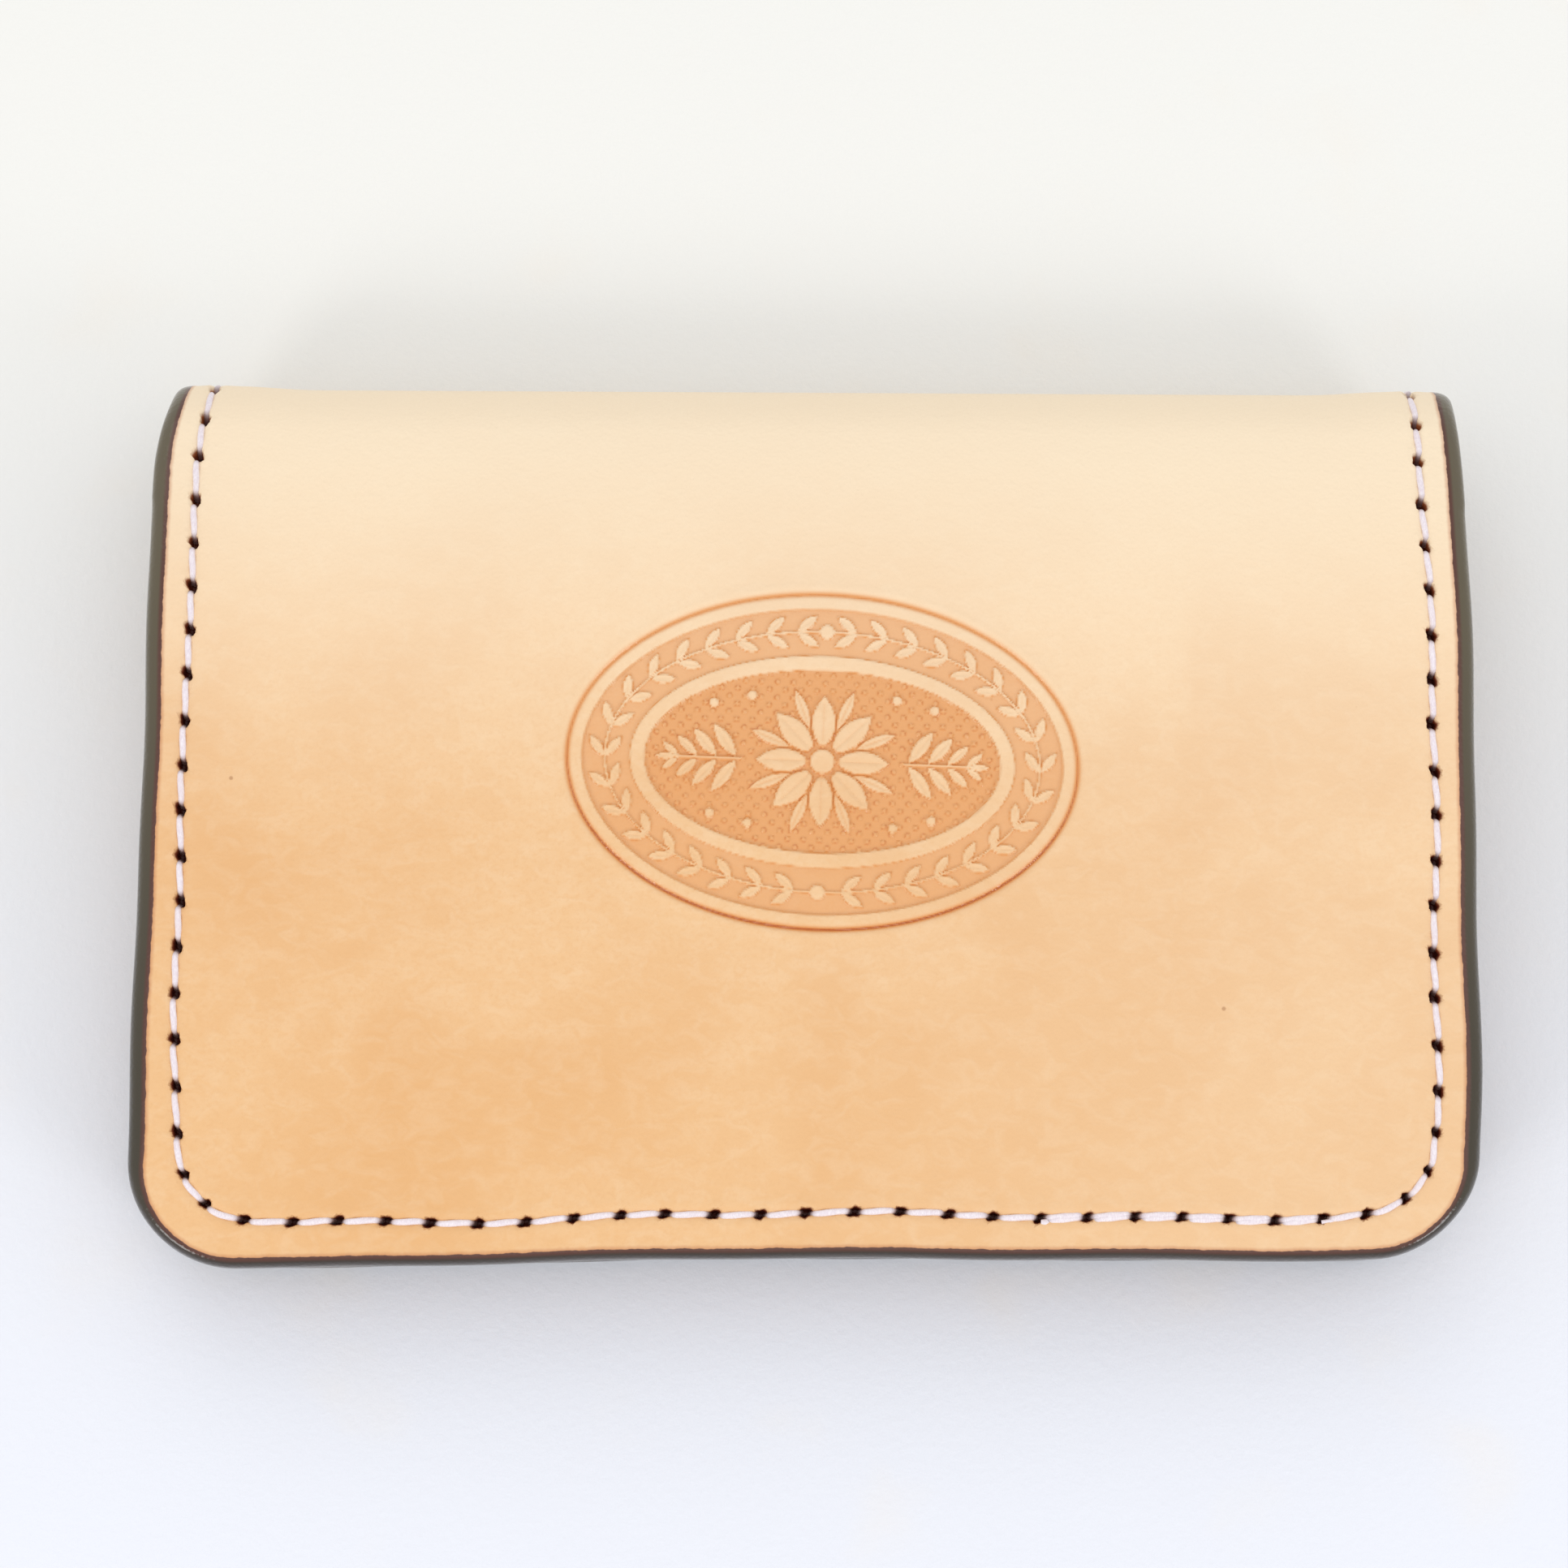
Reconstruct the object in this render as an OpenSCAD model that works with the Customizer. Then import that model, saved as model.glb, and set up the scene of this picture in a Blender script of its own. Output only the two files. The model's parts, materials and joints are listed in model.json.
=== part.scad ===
// Bifold card holder in stitched vegetable-tanned leather.
// X runs along the fold, +Y points to the fold, +Z is up. The back half lies flat on Z = 0 and
// the front half is folded over it. One half is drawn, and the other is its mirror image about
// the plane that passes through the fold.

/* [Case] */
// Length of the fold, side to side
case_w = 105; // [98:0.5:120]
// Flat length of one half, from its free edge to where the leather starts to bend
flat_l = 50.5; // [50:0.5:60]
// Radius of the four outer corners
corner_r = 8.5; // [6:0.5:12]
// Angle between the two flat halves at rest, open towards the fold
rest_wedge = 5.6; // [5.2:0.1:5.8]

/* [Leather] */
// Thickness of the outer cover leather
cover_t = 1.8; // [1.6:0.1:1.8]
// Thickness of the lining leather
lining_t = 0.7; // [0.5:0.1:0.7]
// Thickness of each pocket leather
pocket_t = 0.8; // [0.6:0.1:0.8]

/* [Pockets] */
// Free height of each card slot
card_gap = 0.9; // [0.8:0.05:0.9]
// Width of the seam margin that is sewn flat around each pocket
seam_margin = 6; // [5.5:0.25:6]
// Distance from the free edge to the mouth of the front pocket
front_mouth = 61; // [55:0.5:61]
// Distance from the free edge to the mouth of the rear card slot
upper_mouth = 56; // [52:0.5:60]
// Distance from the free edge to the mouth of the lower card slot
lower_mouth = 46; // [40:0.5:48]
// Radius of the thumb notch in the front pocket
notch_r = 12; // [8:0.5:15]

/* [Stitching] */
// Distance between neighbouring stitches
pitch = 3.6; // [3.5:0.05:3.7]
// Distance from the leather's edge to the seam
stitch_inset = 3.5; // [3.3:0.1:3.6]
// Diameter of the sewing thread
thread_d = 0.42; // [0.3:0.02:0.42]

/* [Stamp] */
// Width of the oval stamped into the front cover
stamp_w = 40.5; // [30:0.5:44]
// Height of the oval stamped into the front cover
stamp_h = 27; // [20:0.5:30]
// Depth of the stamped rings
stamp_depth = 0.3; // [0.1:0.05:0.5]

/* [Hidden] */
$fn = 48;
eps = 0.01;

// Bend of one half, as three arcs of the fold's neutral line: a long bow, a shoulder and the tip.
shell_t = cover_t + lining_t;
neutral = shell_t / 2;
bow_r = 50;
shoulder_r = 8;
tip_r = 3;
bow_a = 19;
shoulder_a = 32;
tip_a = 90 + rest_wedge / 2 - bow_a - shoulder_a;
bow_s = flat_l;
shoulder_s = bow_s + arc_len(bow_r, bow_a);
tip_s = shoulder_s + arc_len(shoulder_r, shoulder_a);
half_len = tip_s + arc_len(tip_r, tip_a);

// The leather is split at the two lines where it bends, each at a stitch hole: the bow's line and
// the tip's line, as distances from the free edge.
bow_line = 61.4;
tip_line = 71.75;
split_gap = 0.15;

// Stations along the bend where the curved bands have an edge.
stations = concat([bow_s],
                  [for (i = [1:10]) bow_s + i * (shoulder_s - bow_s) / 10],
                  [for (i = [1:8]) shoulder_s + i * (tip_s - shoulder_s) / 8],
                  [for (i = [1:8]) tip_s + i * (half_len - tip_s) / 8]);

// Levels of the pocket layers above the outer surface.
first_card = shell_t + card_gap;
first_top = first_card + pocket_t;
second_card = first_top + card_gap;
second_top = second_card + pocket_t;

pan_wall = 0.8;
pan_corner_r = 5;
stem_inset = seam_margin + pan_wall + 1.2;
stem_stop = 2;
butt_gap = 0.2;

groove_w = 0.8;
groove_d = 0.45;
outer_stitch_l = 2.4;
hole_gap = 1;
seam_r = corner_r - stitch_inset;
seam_x = case_w / 2 - stitch_inset;
bend_count = 3;
side_count = 18;
slot_seam_count = 23;

stamp_y = 40;
stamp_x = 1.1;
stamp_turn = -2;
stamp_ring = 1;

cover_color = "burlywood";
inner_color = "tan";
thread_color = "white";

function arc_len(r, a) = r * a * PI / 180;
function arc_deg(r, l) = l / r * 180 / PI;
function outward(a) = [sin(a), -cos(a)];

// Slope of the neutral line, its curvature and its place, at the distance s from the free edge.
function slope(s) =
    s < bow_s ? 0 :
    s < shoulder_s ? arc_deg(bow_r, s - bow_s) :
    s < tip_s ? bow_a + arc_deg(shoulder_r, s - shoulder_s) :
    bow_a + shoulder_a + arc_deg(tip_r, s - tip_s);
function bend_r(s) = s < bow_s ? 1e6 : s < shoulder_s ? bow_r : s < tip_s ? shoulder_r : tip_r;
function arc_end(start, r, a0, a1) = start + r * (outward(a1) - outward(a0));
function line_at(s) =
    s < bow_s ? [s, neutral] :
    s < shoulder_s ? arc_end([bow_s, neutral], bow_r, 0, slope(s)) :
    s < tip_s ? arc_end(arc_end([bow_s, neutral], bow_r, 0, bow_a), shoulder_r, bow_a, slope(s)) :
    arc_end(arc_end(arc_end([bow_s, neutral], bow_r, 0, bow_a), shoulder_r, bow_a, bow_a + shoulder_a),
            tip_r, bow_a + shoulder_a, slope(s));

// Point at the distance s along a half and the height n above its outer surface.
function at(s, n) = line_at(s) + (neutral - n) * outward(slope(s));

// The origin is under the middle of the case: half of its depth lies behind and half in front.
tip_yz = at(half_len, neutral);
edge_drop = tip_yz[1] * cos(rest_wedge / 2) - tip_yz[0] * sin(rest_wedge / 2);
front_edge_y = -2 * edge_drop * sin(rest_wedge / 2);
fold_y = at(half_len, 0)[0];
shift_y = -(front_edge_y + fold_y) / 2;

// Moves what is drawn from the free edge at Y = 0 to the row frame, as the back or the front half.
module on_back() {
    translate([0, shift_y, 0]) children();
}
module on_front() {
    translate([0, shift_y, 0])
        translate([0, tip_yz[0], tip_yz[1]])
            rotate([rest_wedge / 2, 0, 0])
                mirror([0, 0, 1])
                    rotate([-rest_wedge / 2, 0, 0])
                        translate([0, -tip_yz[0], -tip_yz[1]])
                            children();
}

// A layer of leather that follows the bend, from s0 to s1 and between the heights n0 and n1.
module band(s0, s1, n0, n1, w = case_w) {
    inner = [for (s = stations) if (s > s0 + eps && s < s1 - eps) s];
    line = concat([s0], inner, [s1]);
    last = len(line) - 1;
    rotate([90, 0, 90])
        linear_extrude(height = w, center = true)
            polygon(concat([for (s = line) at(s, n0)], [for (i = [last:-1:0]) at(line[i], n1)]));
}

// Plan of one half set in by d, with round corners at the free edge and open towards the fold.
module plan(d, r = corner_r) {
    w = case_w - 2 * d;
    fillet = max(r - d, 1);
    far = half_len + 10;
    union() {
        translate([-w / 2, d + fillet]) square([w, far - d - fillet]);
        translate([-w / 2 + fillet, d]) square([w - 2 * fillet, far]);
        for (side = [-1, 1])
            translate([side * (w / 2 - fillet), d + fillet]) circle(r = fillet);
    }
}
module prism() {
    translate([0, 0, -1]) linear_extrude(height = 30) children();
}

// Sheet of a half cut to its outline.
module sheet(s1, n0, n1) {
    intersection() {
        band(0, s1, n0, n1);
        prism() plan(0);
    }
}

// Stitching groove in the outer surface of a half, and of the bend between its side seams.
module half_groove() {
    intersection() {
        band(0, bow_line, -eps, groove_d);
        prism() difference() {
            plan(stitch_inset - groove_w / 2);
            plan(stitch_inset + groove_w / 2);
        }
    }
}
module bend_groove() {
    for (side = [-1, 1])
        translate([side * seam_x, 0, 0]) band(bow_line, tip_line, -eps, groove_d, groove_w);
}

module half_cover() {
    difference() {
        sheet(bow_line - split_gap, 0, cover_t);
        half_groove();
    }
}
module half_lining() {
    sheet(bow_line - split_gap, cover_t, shell_t);
}

module bend_cover() {
    difference() {
        band(bow_line + split_gap, tip_line - split_gap, 0, cover_t);
        bend_groove();
    }
}
module bend_lining() {
    band(bow_line + split_gap, tip_line - split_gap, cover_t, shell_t);
}

// Raised bed of a pocket: the bed itself at n0 to n1 and the wall that comes down to the lining.
module pan(s1, n0, n1, s0 = 0) {
    intersection() {
        band(s0, s1, n0, n1);
        prism() plan(seam_margin, seam_margin + pan_corner_r);
    }
    intersection() {
        band(s0, s1, shell_t, n1);
        prism() difference() {
            plan(seam_margin, seam_margin + pan_corner_r);
            plan(seam_margin + pan_wall, seam_margin + pan_corner_r);
        }
    }
}

// Seam margin of a pocket, which is sewn flat on the lining.
module margin(s1, s0 = 0) {
    intersection() {
        band(s0, s1, shell_t, shell_t + pocket_t);
        prism() difference() {
            plan(0);
            plan(seam_margin + pan_wall / 2, seam_margin + pan_corner_r);
        }
    }
}

module front_pocket() {
    difference() {
        union() {
            margin(front_mouth);
            pan(front_mouth, first_card, first_top);
        }
        translate([0, at(front_mouth, 0)[0], 0]) cylinder(r = notch_r, h = 20, center = true);
    }
}

module lower_slot() {
    margin(lower_mouth);
    pan(lower_mouth, second_card, second_top);
}

// T-shaped panel: two arms sewn into the side seams and a stem that hangs behind the lower slot.
module upper_slot() {
    arm_s = lower_mouth + butt_gap;
    margin(upper_mouth, arm_s);
    pan(upper_mouth, first_card, first_top, arm_s);
    intersection() {
        union() {
            band(stem_inset, arm_s + eps, first_card, first_top);
            band(stem_inset, stem_inset + stem_stop, shell_t, first_top);
        }
        prism() plan(stem_inset, stem_inset + pan_corner_r);
    }
}

// One stitch lying along Y in the plane of the leather, as an eight-sided rod of the length l.
module stitch(l) {
    rotate([90, 0, 0]) cylinder(d = thread_d, h = l, center = true, $fn = 8);
}

// A stitch of the side seam, at the distance s from the free edge and the height n.
module side_stitch(x, s, n, l) {
    p = at(s, n);
    translate([x, p[0], p[1]]) rotate([slope(s), 0, 0]) stitch(l);
}

// Stitches number first to last of both side seams, counted from the one on the tip of the fold.
module side_stitches(first, last, inside, mouth) {
    for (k = [first:last], side = [-1, 1]) {
        s = half_len - k * pitch;
        side_stitch(side * seam_x, s, stitch_n(inside, s, mouth), stitch_l(inside, s));
    }
}

// Both side seams of a half, and the run round its corners and along its free edge. The inner run
// lies on the pocket's margin, as far as the pocket's mouth, and the outer run in its groove.
module half_stitches(inside, mouth) {
    side_stitches(bend_count + 1, side_count, inside, mouth);
    edge_y = half_len - side_count * pitch;
    quarter = arc_len(seam_r, 90);
    run = 2 * quarter + case_w - 2 * corner_r;
    first = corner_r - edge_y + pitch;
    count = round((run - 2 * first) / pitch);
    step = (run - 2 * first) / count;
    for (k = [0:count]) {
        p = edge_point(first + k * step, quarter, run);
        translate([p[0], p[1], stitch_n(inside, 0, mouth)])
            rotate([0, 0, p[2]]) stitch(stitch_l(inside, 0));
    }
}

// [x, y, turn] at the distance q along the free edge's seam, from the start of its first corner.
function edge_point(q, quarter, run) =
    q < quarter ?
        [-case_w / 2 + corner_r - seam_r * cos(arc_deg(seam_r, q)),
         corner_r - seam_r * sin(arc_deg(seam_r, q)),
         arc_deg(seam_r, q)] :
    q > run - quarter ?
        [case_w / 2 - corner_r + seam_r * cos(arc_deg(seam_r, run - q)),
         corner_r - seam_r * sin(arc_deg(seam_r, run - q)),
         -arc_deg(seam_r, run - q)] :
        [-case_w / 2 + corner_r + q - quarter, stitch_inset, 90];

// Length of a stitch, and the height of its centre, which clears the leather where that is hollow.
function inner_r(s) = bend_r(s) - neutral;
function stitch_l(inside, s) =
    inside ? pitch * inner_r(s) / bend_r(s) - hole_gap : outer_stitch_l;
function stitch_n(inside, s, mouth) =
    inside ?
        shell_t + (s < mouth + outer_stitch_l ? pocket_t : 0) + thread_d / 2 + eps
            + pow(stitch_l(true, s), 2) / 8 / inner_r(s) :
        groove_d - thread_d / 2 - eps;

// Mirror image of a point of the half's profile, as it lies on the other side of the fold.
function mirrored(p) =
    let (u = [cos(rest_wedge / 2), sin(rest_wedge / 2)], d = p - tip_yz) tip_yz + 2 * (d * u) * u - d;

// The tip's strip of leather, from the distance s0 on the back round to the same on the front.
module fold_band(s0, n0, n1, w = case_w) {
    line = concat([s0], [for (s = stations) if (s > s0 + eps && s < half_len - eps) s]);
    last = len(line) - 1;
    rotate([90, 0, 90])
        linear_extrude(height = w, center = true)
            polygon(concat([for (s = line) at(s, n0)],
                           [at(half_len, n0)],
                           [for (i = [last:-1:0]) mirrored(at(line[i], n0))],
                           [for (s = line) mirrored(at(s, n1))],
                           [at(half_len, n1)],
                           [for (i = [last:-1:0]) at(line[i], n1)]));
}

module spine_groove() {
    for (side = [-1, 1])
        translate([side * seam_x, 0, 0])
            fold_band(tip_line, -eps, groove_d, groove_w);
}

// Oval of the stamp, set in by d.
module oval(d) {
    translate([stamp_x, stamp_y]) rotate(stamp_turn)
        polygon([for (a = [0:7.5:359]) [(stamp_w / 2 - d) * cos(a), (stamp_h / 2 - d) * sin(a)]]);
}
module stamp_rings() {
    intersection() {
        band(0, shoulder_s, -eps, stamp_depth);
        prism() {
            difference() {
                oval(0);
                oval(stamp_ring);
            }
            difference() {
                oval(5 * stamp_ring);
                oval(6 * stamp_ring);
            }
        }
    }
}

module back_cover() {
    color(cover_color) on_back() half_cover();
}
module back_lining() {
    color(inner_color) on_back() half_lining();
}
module upper_slot_panel() {
    color(inner_color) on_back() upper_slot();
}
module lower_slot_panel() {
    color(inner_color) on_back() lower_slot();
}
module upper_slot_seam_thread() {
    seam_y = stem_inset + stem_stop / 2;
    color(thread_color) on_back()
        for (k = [0:slot_seam_count - 1])
            translate([(k - (slot_seam_count - 1) / 2) * pitch, seam_y, first_top + thread_d / 2 + eps])
                rotate([0, 0, 90]) stitch(outer_stitch_l);
}
module back_outer_thread() {
    color(thread_color) on_back() half_stitches(false, 0);
}
module back_inner_thread() {
    color(thread_color) on_back() half_stitches(true, upper_mouth);
}
module back_bend_cover() {
    color(cover_color) on_back() bend_cover();
}
module back_bend_lining() {
    color(inner_color) on_back() bend_lining();
}
module back_bend_outer_thread() {
    color(thread_color) on_back() side_stitches(1, bend_count, false, 0);
}
module back_bend_inner_thread() {
    color(thread_color) on_back() side_stitches(1, bend_count, true, 0);
}
module spine_cover() {
    color(cover_color) on_back() difference() {
        fold_band(tip_line + split_gap, 0, cover_t);
        spine_groove();
    }
}
module spine_lining() {
    color(inner_color) on_back() fold_band(tip_line + split_gap, cover_t, shell_t);
}
module spine_outer_thread() {
    color(thread_color) on_back() side_stitches(0, 0, false, 0);
}
module spine_inner_thread() {
    color(thread_color) on_back() side_stitches(0, 0, true, 0);
}
module front_bend_cover() {
    color(cover_color) on_front() bend_cover();
}
module front_bend_lining() {
    color(inner_color) on_front() bend_lining();
}
module front_bend_outer_thread() {
    color(thread_color) on_front() side_stitches(1, bend_count, false, 0);
}
module front_bend_inner_thread() {
    color(thread_color) on_front() side_stitches(1, bend_count, true, 0);
}
module front_cover() {
    color(cover_color) on_front() difference() {
        half_cover();
        stamp_rings();
    }
}
module front_lining() {
    color(inner_color) on_front() half_lining();
}
module front_pocket_panel() {
    color(inner_color) on_front() front_pocket();
}
module front_outer_thread() {
    color(thread_color) on_front() half_stitches(false, 0);
}
module front_inner_thread() {
    color(thread_color) on_front() half_stitches(true, front_mouth);
}

back_cover();
back_lining();
upper_slot_panel();
lower_slot_panel();
upper_slot_seam_thread();
back_outer_thread();
back_inner_thread();
back_bend_cover();
back_bend_lining();
back_bend_outer_thread();
back_bend_inner_thread();
spine_cover();
spine_lining();
spine_outer_thread();
spine_inner_thread();
front_bend_cover();
front_bend_lining();
front_bend_outer_thread();
front_bend_inner_thread();
front_cover();
front_lining();
front_pocket_panel();
front_outer_thread();
front_inner_thread();
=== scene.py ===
"""Looks of a bifold card holder in stitched natural leather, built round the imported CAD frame.

Every shape is worked out in a flat plan of one half and then laid on the folded case. In the plan,
x runs along the fold and s is the distance from the free edge, both in millimetres. The height n is
measured from the outer surface of the cover towards the inside. The front half is the mirror image
of the back half about the plane through the fold.
"""

import json
import math

import bmesh
import bpy
import numpy as np
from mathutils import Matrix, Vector
from mathutils.geometry import delaunay_2d_cdt

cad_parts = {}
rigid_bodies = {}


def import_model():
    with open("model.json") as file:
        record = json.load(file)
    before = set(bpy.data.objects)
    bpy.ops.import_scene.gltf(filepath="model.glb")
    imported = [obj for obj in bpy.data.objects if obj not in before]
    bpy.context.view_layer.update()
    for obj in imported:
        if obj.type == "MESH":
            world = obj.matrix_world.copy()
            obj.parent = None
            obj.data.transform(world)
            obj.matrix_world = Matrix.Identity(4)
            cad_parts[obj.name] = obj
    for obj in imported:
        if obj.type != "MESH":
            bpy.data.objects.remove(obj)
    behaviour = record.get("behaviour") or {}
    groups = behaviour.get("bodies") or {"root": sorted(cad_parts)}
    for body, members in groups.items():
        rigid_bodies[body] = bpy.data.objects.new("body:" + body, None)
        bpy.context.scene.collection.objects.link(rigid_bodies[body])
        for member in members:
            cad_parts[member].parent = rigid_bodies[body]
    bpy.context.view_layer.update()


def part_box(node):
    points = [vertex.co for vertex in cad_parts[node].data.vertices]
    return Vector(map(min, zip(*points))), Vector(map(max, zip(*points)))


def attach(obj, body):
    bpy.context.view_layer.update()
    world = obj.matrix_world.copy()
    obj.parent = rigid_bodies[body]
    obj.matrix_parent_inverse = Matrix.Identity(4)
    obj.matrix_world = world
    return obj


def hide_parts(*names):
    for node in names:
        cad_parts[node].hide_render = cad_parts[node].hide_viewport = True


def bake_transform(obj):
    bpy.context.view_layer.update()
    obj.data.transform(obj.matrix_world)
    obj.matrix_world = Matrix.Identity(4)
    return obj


for leftover in list(bpy.data.objects):
    bpy.data.objects.remove(leftover)
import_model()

MM = 0.001
rng = np.random.default_rng(11)

# Sizes of the case, in millimetres. The frame gives its outer sizes and the leather's thickness.
HALF_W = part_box("back_cover")[1].x / MM
EDGE_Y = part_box("back_cover")[0].y / MM
COVER_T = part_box("back_lining")[0].z / MM
SHELL_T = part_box("lower_slot_panel")[0].z / MM
MIDDLE = SHELL_T / 2
POCKET_T = 0.8
CARD_GAP = 0.9
CORNER_R = 8.5
FLAT = 50.5
WEDGE = math.radians(5.6)
BENDS = ((50, math.radians(19)), (8, math.radians(32)), (3, math.radians(39) + WEDGE / 2))
HALF_LEN = FLAT + sum(radius * angle for radius, angle in BENDS)
SPLIT = 64.0

# Pockets: distances of their mouths from the free edge, and the sewn margin round each of them.
UPPER_MOUTH = 56
LOWER_MOUTH = 46
FRONT_MOUTH = 61
NOTCH_R = 12
NOTCH_FILLET = 2.5
MARGIN = 5
RISE = 3.6
STEM_INSET = 8
STEM_R = 5
BUTT_GAP = 0.2

# Stitching: distance of the seam from the edge, pitch of the holes and thickness of the thread.
SEAM_IN = 3.5
PITCH = 3.6
SIDE_HOLES = 19
THREAD_R = 0.25
SEAM_R = CORNER_R - SEAM_IN
SIDE_RUN = HALF_LEN - CORNER_R
QUARTER = SEAM_R * math.pi / 2
SEAM_LEN = 2 * (SIDE_RUN + QUARTER + HALF_W - CORNER_R)

# Where the seam runs inside its even line at a corner: the corner's place along the seam, how far in
# the seam lies there and how far to both sides that reaches. Then the two values of x between which
# the free edge is backstitched.
CORNER_CUTS = ((SIDE_RUN + QUARTER / 2, 0.75), (SEAM_LEN - SIDE_RUN - QUARTER / 2, 0.5))
CORNER_REACH = 4.5
BACKSTITCH = (17.3, 39.3)

# Stitches: how far from the middle of its first and last hole a stitch ends, how far in those two
# ends lie, how long and deep it dives, the length of the thread's twist and its pressed section.
TRIM = (0.36, 0.30)
SLANT = (-0.13, 0.08)
DIVE_LENGTH, DIVE_DEPTH = 0.46, 1.05
TWIST = 1.9
PRESSED = (1.06, 0.92)

# How deep the stitch holes are and how deep the channel between them is, on each kind of face, and
# how deep the thread lies in its channel.
COVER_HOLES, LINING_HOLES, POCKET_HOLES = (1.15, 0.3), (0.55, 0.2), (0.6, 0.2)
FRONT_SEAT, BACK_SEAT, INNER_SEAT, STEM_SEAT = 0.2, 0.27, 0.12, 0.1

# Burnished edges: how far in the round reaches on the outer face at the sides and at the free edge,
# on the inner face, and on a pocket's mouth; and how deep in the stack the edge stands out most.
SIDE_ROUND = 1.35
FREE_ROUND = 0.7
INNER_ROUND = 1.2
WIDEST = 0.36
MOUTH_ROUND = 0.34

# Stamped oval on the front cover.
STAMP_AT = (1.1, 40)
STAMP_TURN = math.radians(-2)
STAMP_HALF = (20.25, 13.5)
STAMP_FLOOR = 0.3
STAMP_STEP = 0.14
INNER_OVAL = (15.2, 8.5)
INNER_FIELD = (14.1, 7.4)
STIPPLE = 1.25

# Hand work: how far each half is cut short of its even outline, how much more at the right end of
# the free edge, how far the fold's left end and the right corner are drawn in, how much slimmer the
# middle of the fold is, and how far the back half stands off the floor.
FRONT_CUT, BACK_CUT = 0.35, 1.0
RIGHT_CUT = 0.95
LEFT_END_IN = 0.7
CORNER_IN = 0.8
CORNER_UP = 0.3
WAIST = 0.30
BACK_LIFT = 0.09


def smooth(t):
    """0 below 0, 1 above 1 and a smooth step between them."""
    t = np.clip(t, 0, 1)
    return t * t * (3 - 2 * t)


def middle_line(s):
    """(y, z, slope) of the middle of the leather at the distance s from the free edge."""
    y = np.minimum(s, FLAT)
    z = np.full(np.shape(s), MIDDLE)
    slope = np.zeros(np.shape(s))
    begin, turned = FLAT, 0.0
    for radius, angle in BENDS:
        turn = np.clip((s - begin) / radius, 0, angle)
        y = y + radius * (np.sin(turned + turn) - math.sin(turned))
        z = z + radius * (math.cos(turned) - np.cos(turned + turn))
        slope = slope + turn
        begin, turned = begin + radius * angle, turned + angle
    return y, z, slope


TIP_Y, TIP_Z, _ = (float(v) for v in middle_line(np.array(HALF_LEN)))


def to_front(y, z):
    """Mirror image of a point beside the back half, as it lies on the front half."""
    uy, uz = math.cos(WEDGE / 2), math.sin(WEDGE / 2)
    dy, dz = y - TIP_Y, z - TIP_Z
    along = 2 * (dy * uy + dz * uz)
    return TIP_Y + along * uy - dy, TIP_Z + along * uz - dz


def hand_made(x, s, n, front):
    """Small unevenness of hand work: wavy cuts, leather that isn't quite flat, a slimmer mid fold,
    a rounder right corner and a back half that is cut a little shorter than the front one."""
    phase = 0.0 if front else 2.1
    side = (np.abs(x) / HALF_W) ** 4
    x_out = 0.10 * np.sin(0.14 * s + phase + np.sign(x)) + 0.05 * np.sin(0.41 * s + 2 * phase)
    near = smooth(1 - s / 16)
    cut = RIGHT_CUT * smooth((x + 44) / 44) + 0.06 * np.sin(0.31 * x + 1.9 * phase)
    cut = cut + (FRONT_CUT if front else BACK_CUT)
    swing = np.sin(0.11 * x + phase) * np.cos(0.09 * s + 1) + 0.9 * np.sin(0.17 * s - 0.06 * x)
    level = 0.03 * (1.9 + swing) + (0 if front else BACK_LIFT)
    waist = WAIST * smooth((s - SPLIT) / 8) * smooth((HALF_W - 5 - np.abs(x)) / 7)
    fade = smooth((HALF_LEN - s) / 6)
    drawn_in = LEFT_END_IN * smooth((s - HALF_LEN + 10) / 10) * side * (x < 0)
    tucked = smooth((x - HALF_W + 14) / 14) * smooth((17 - s) / 15)
    x_out = np.sign(x) * x_out * side * fade
    x = x + x_out + drawn_in - CORNER_IN * tucked
    return x, s + cut * near + CORNER_UP * tucked, n + level * fade + waist


def place(x, s, n, front):
    """Points in the row frame, in metres, of plan points at the height n."""
    x, s, n = hand_made(*(np.asarray(v, float) for v in (x, s, n)), front)
    y, z, slope = middle_line(s)
    y = y + (MIDDLE - n) * np.sin(slope)
    z = z - (MIDDLE - n) * np.cos(slope)
    if front:
        y, z = to_front(y, z)
    return np.stack([x, y + EDGE_Y, z], -1) * MM


def inset(x, s):
    """Distance in from the cut edge of a half."""
    across, down = np.abs(x) - (HALF_W - CORNER_R), CORNER_R - s
    round_corner = CORNER_R - np.hypot(np.maximum(across, 0), np.maximum(down, 0))
    straight = np.minimum(HALF_W - np.abs(x), s)
    return np.where((across > 0) & (down > 0), round_corner, straight)


# ---------------------------------------------------------------- seams


def seam_base(t):
    """Place and inward direction of the even seam, at t from the fold on the left."""
    right = t > SEAM_LEN / 2
    u = np.where(right, SEAM_LEN - t, t)
    turn = np.clip((u - SIDE_RUN) / SEAM_R, 0, math.pi / 2)
    x = CORNER_R - HALF_W - SEAM_R * np.cos(turn) + np.maximum(u - SIDE_RUN - QUARTER, 0)
    s = HALF_LEN - np.minimum(u, SIDE_RUN) - SEAM_R * np.sin(turn)
    flip = np.where(right, -1, 1)
    return np.stack([x * flip, s], -1), np.stack([np.cos(turn) * flip, np.sin(turn)], -1)


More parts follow.
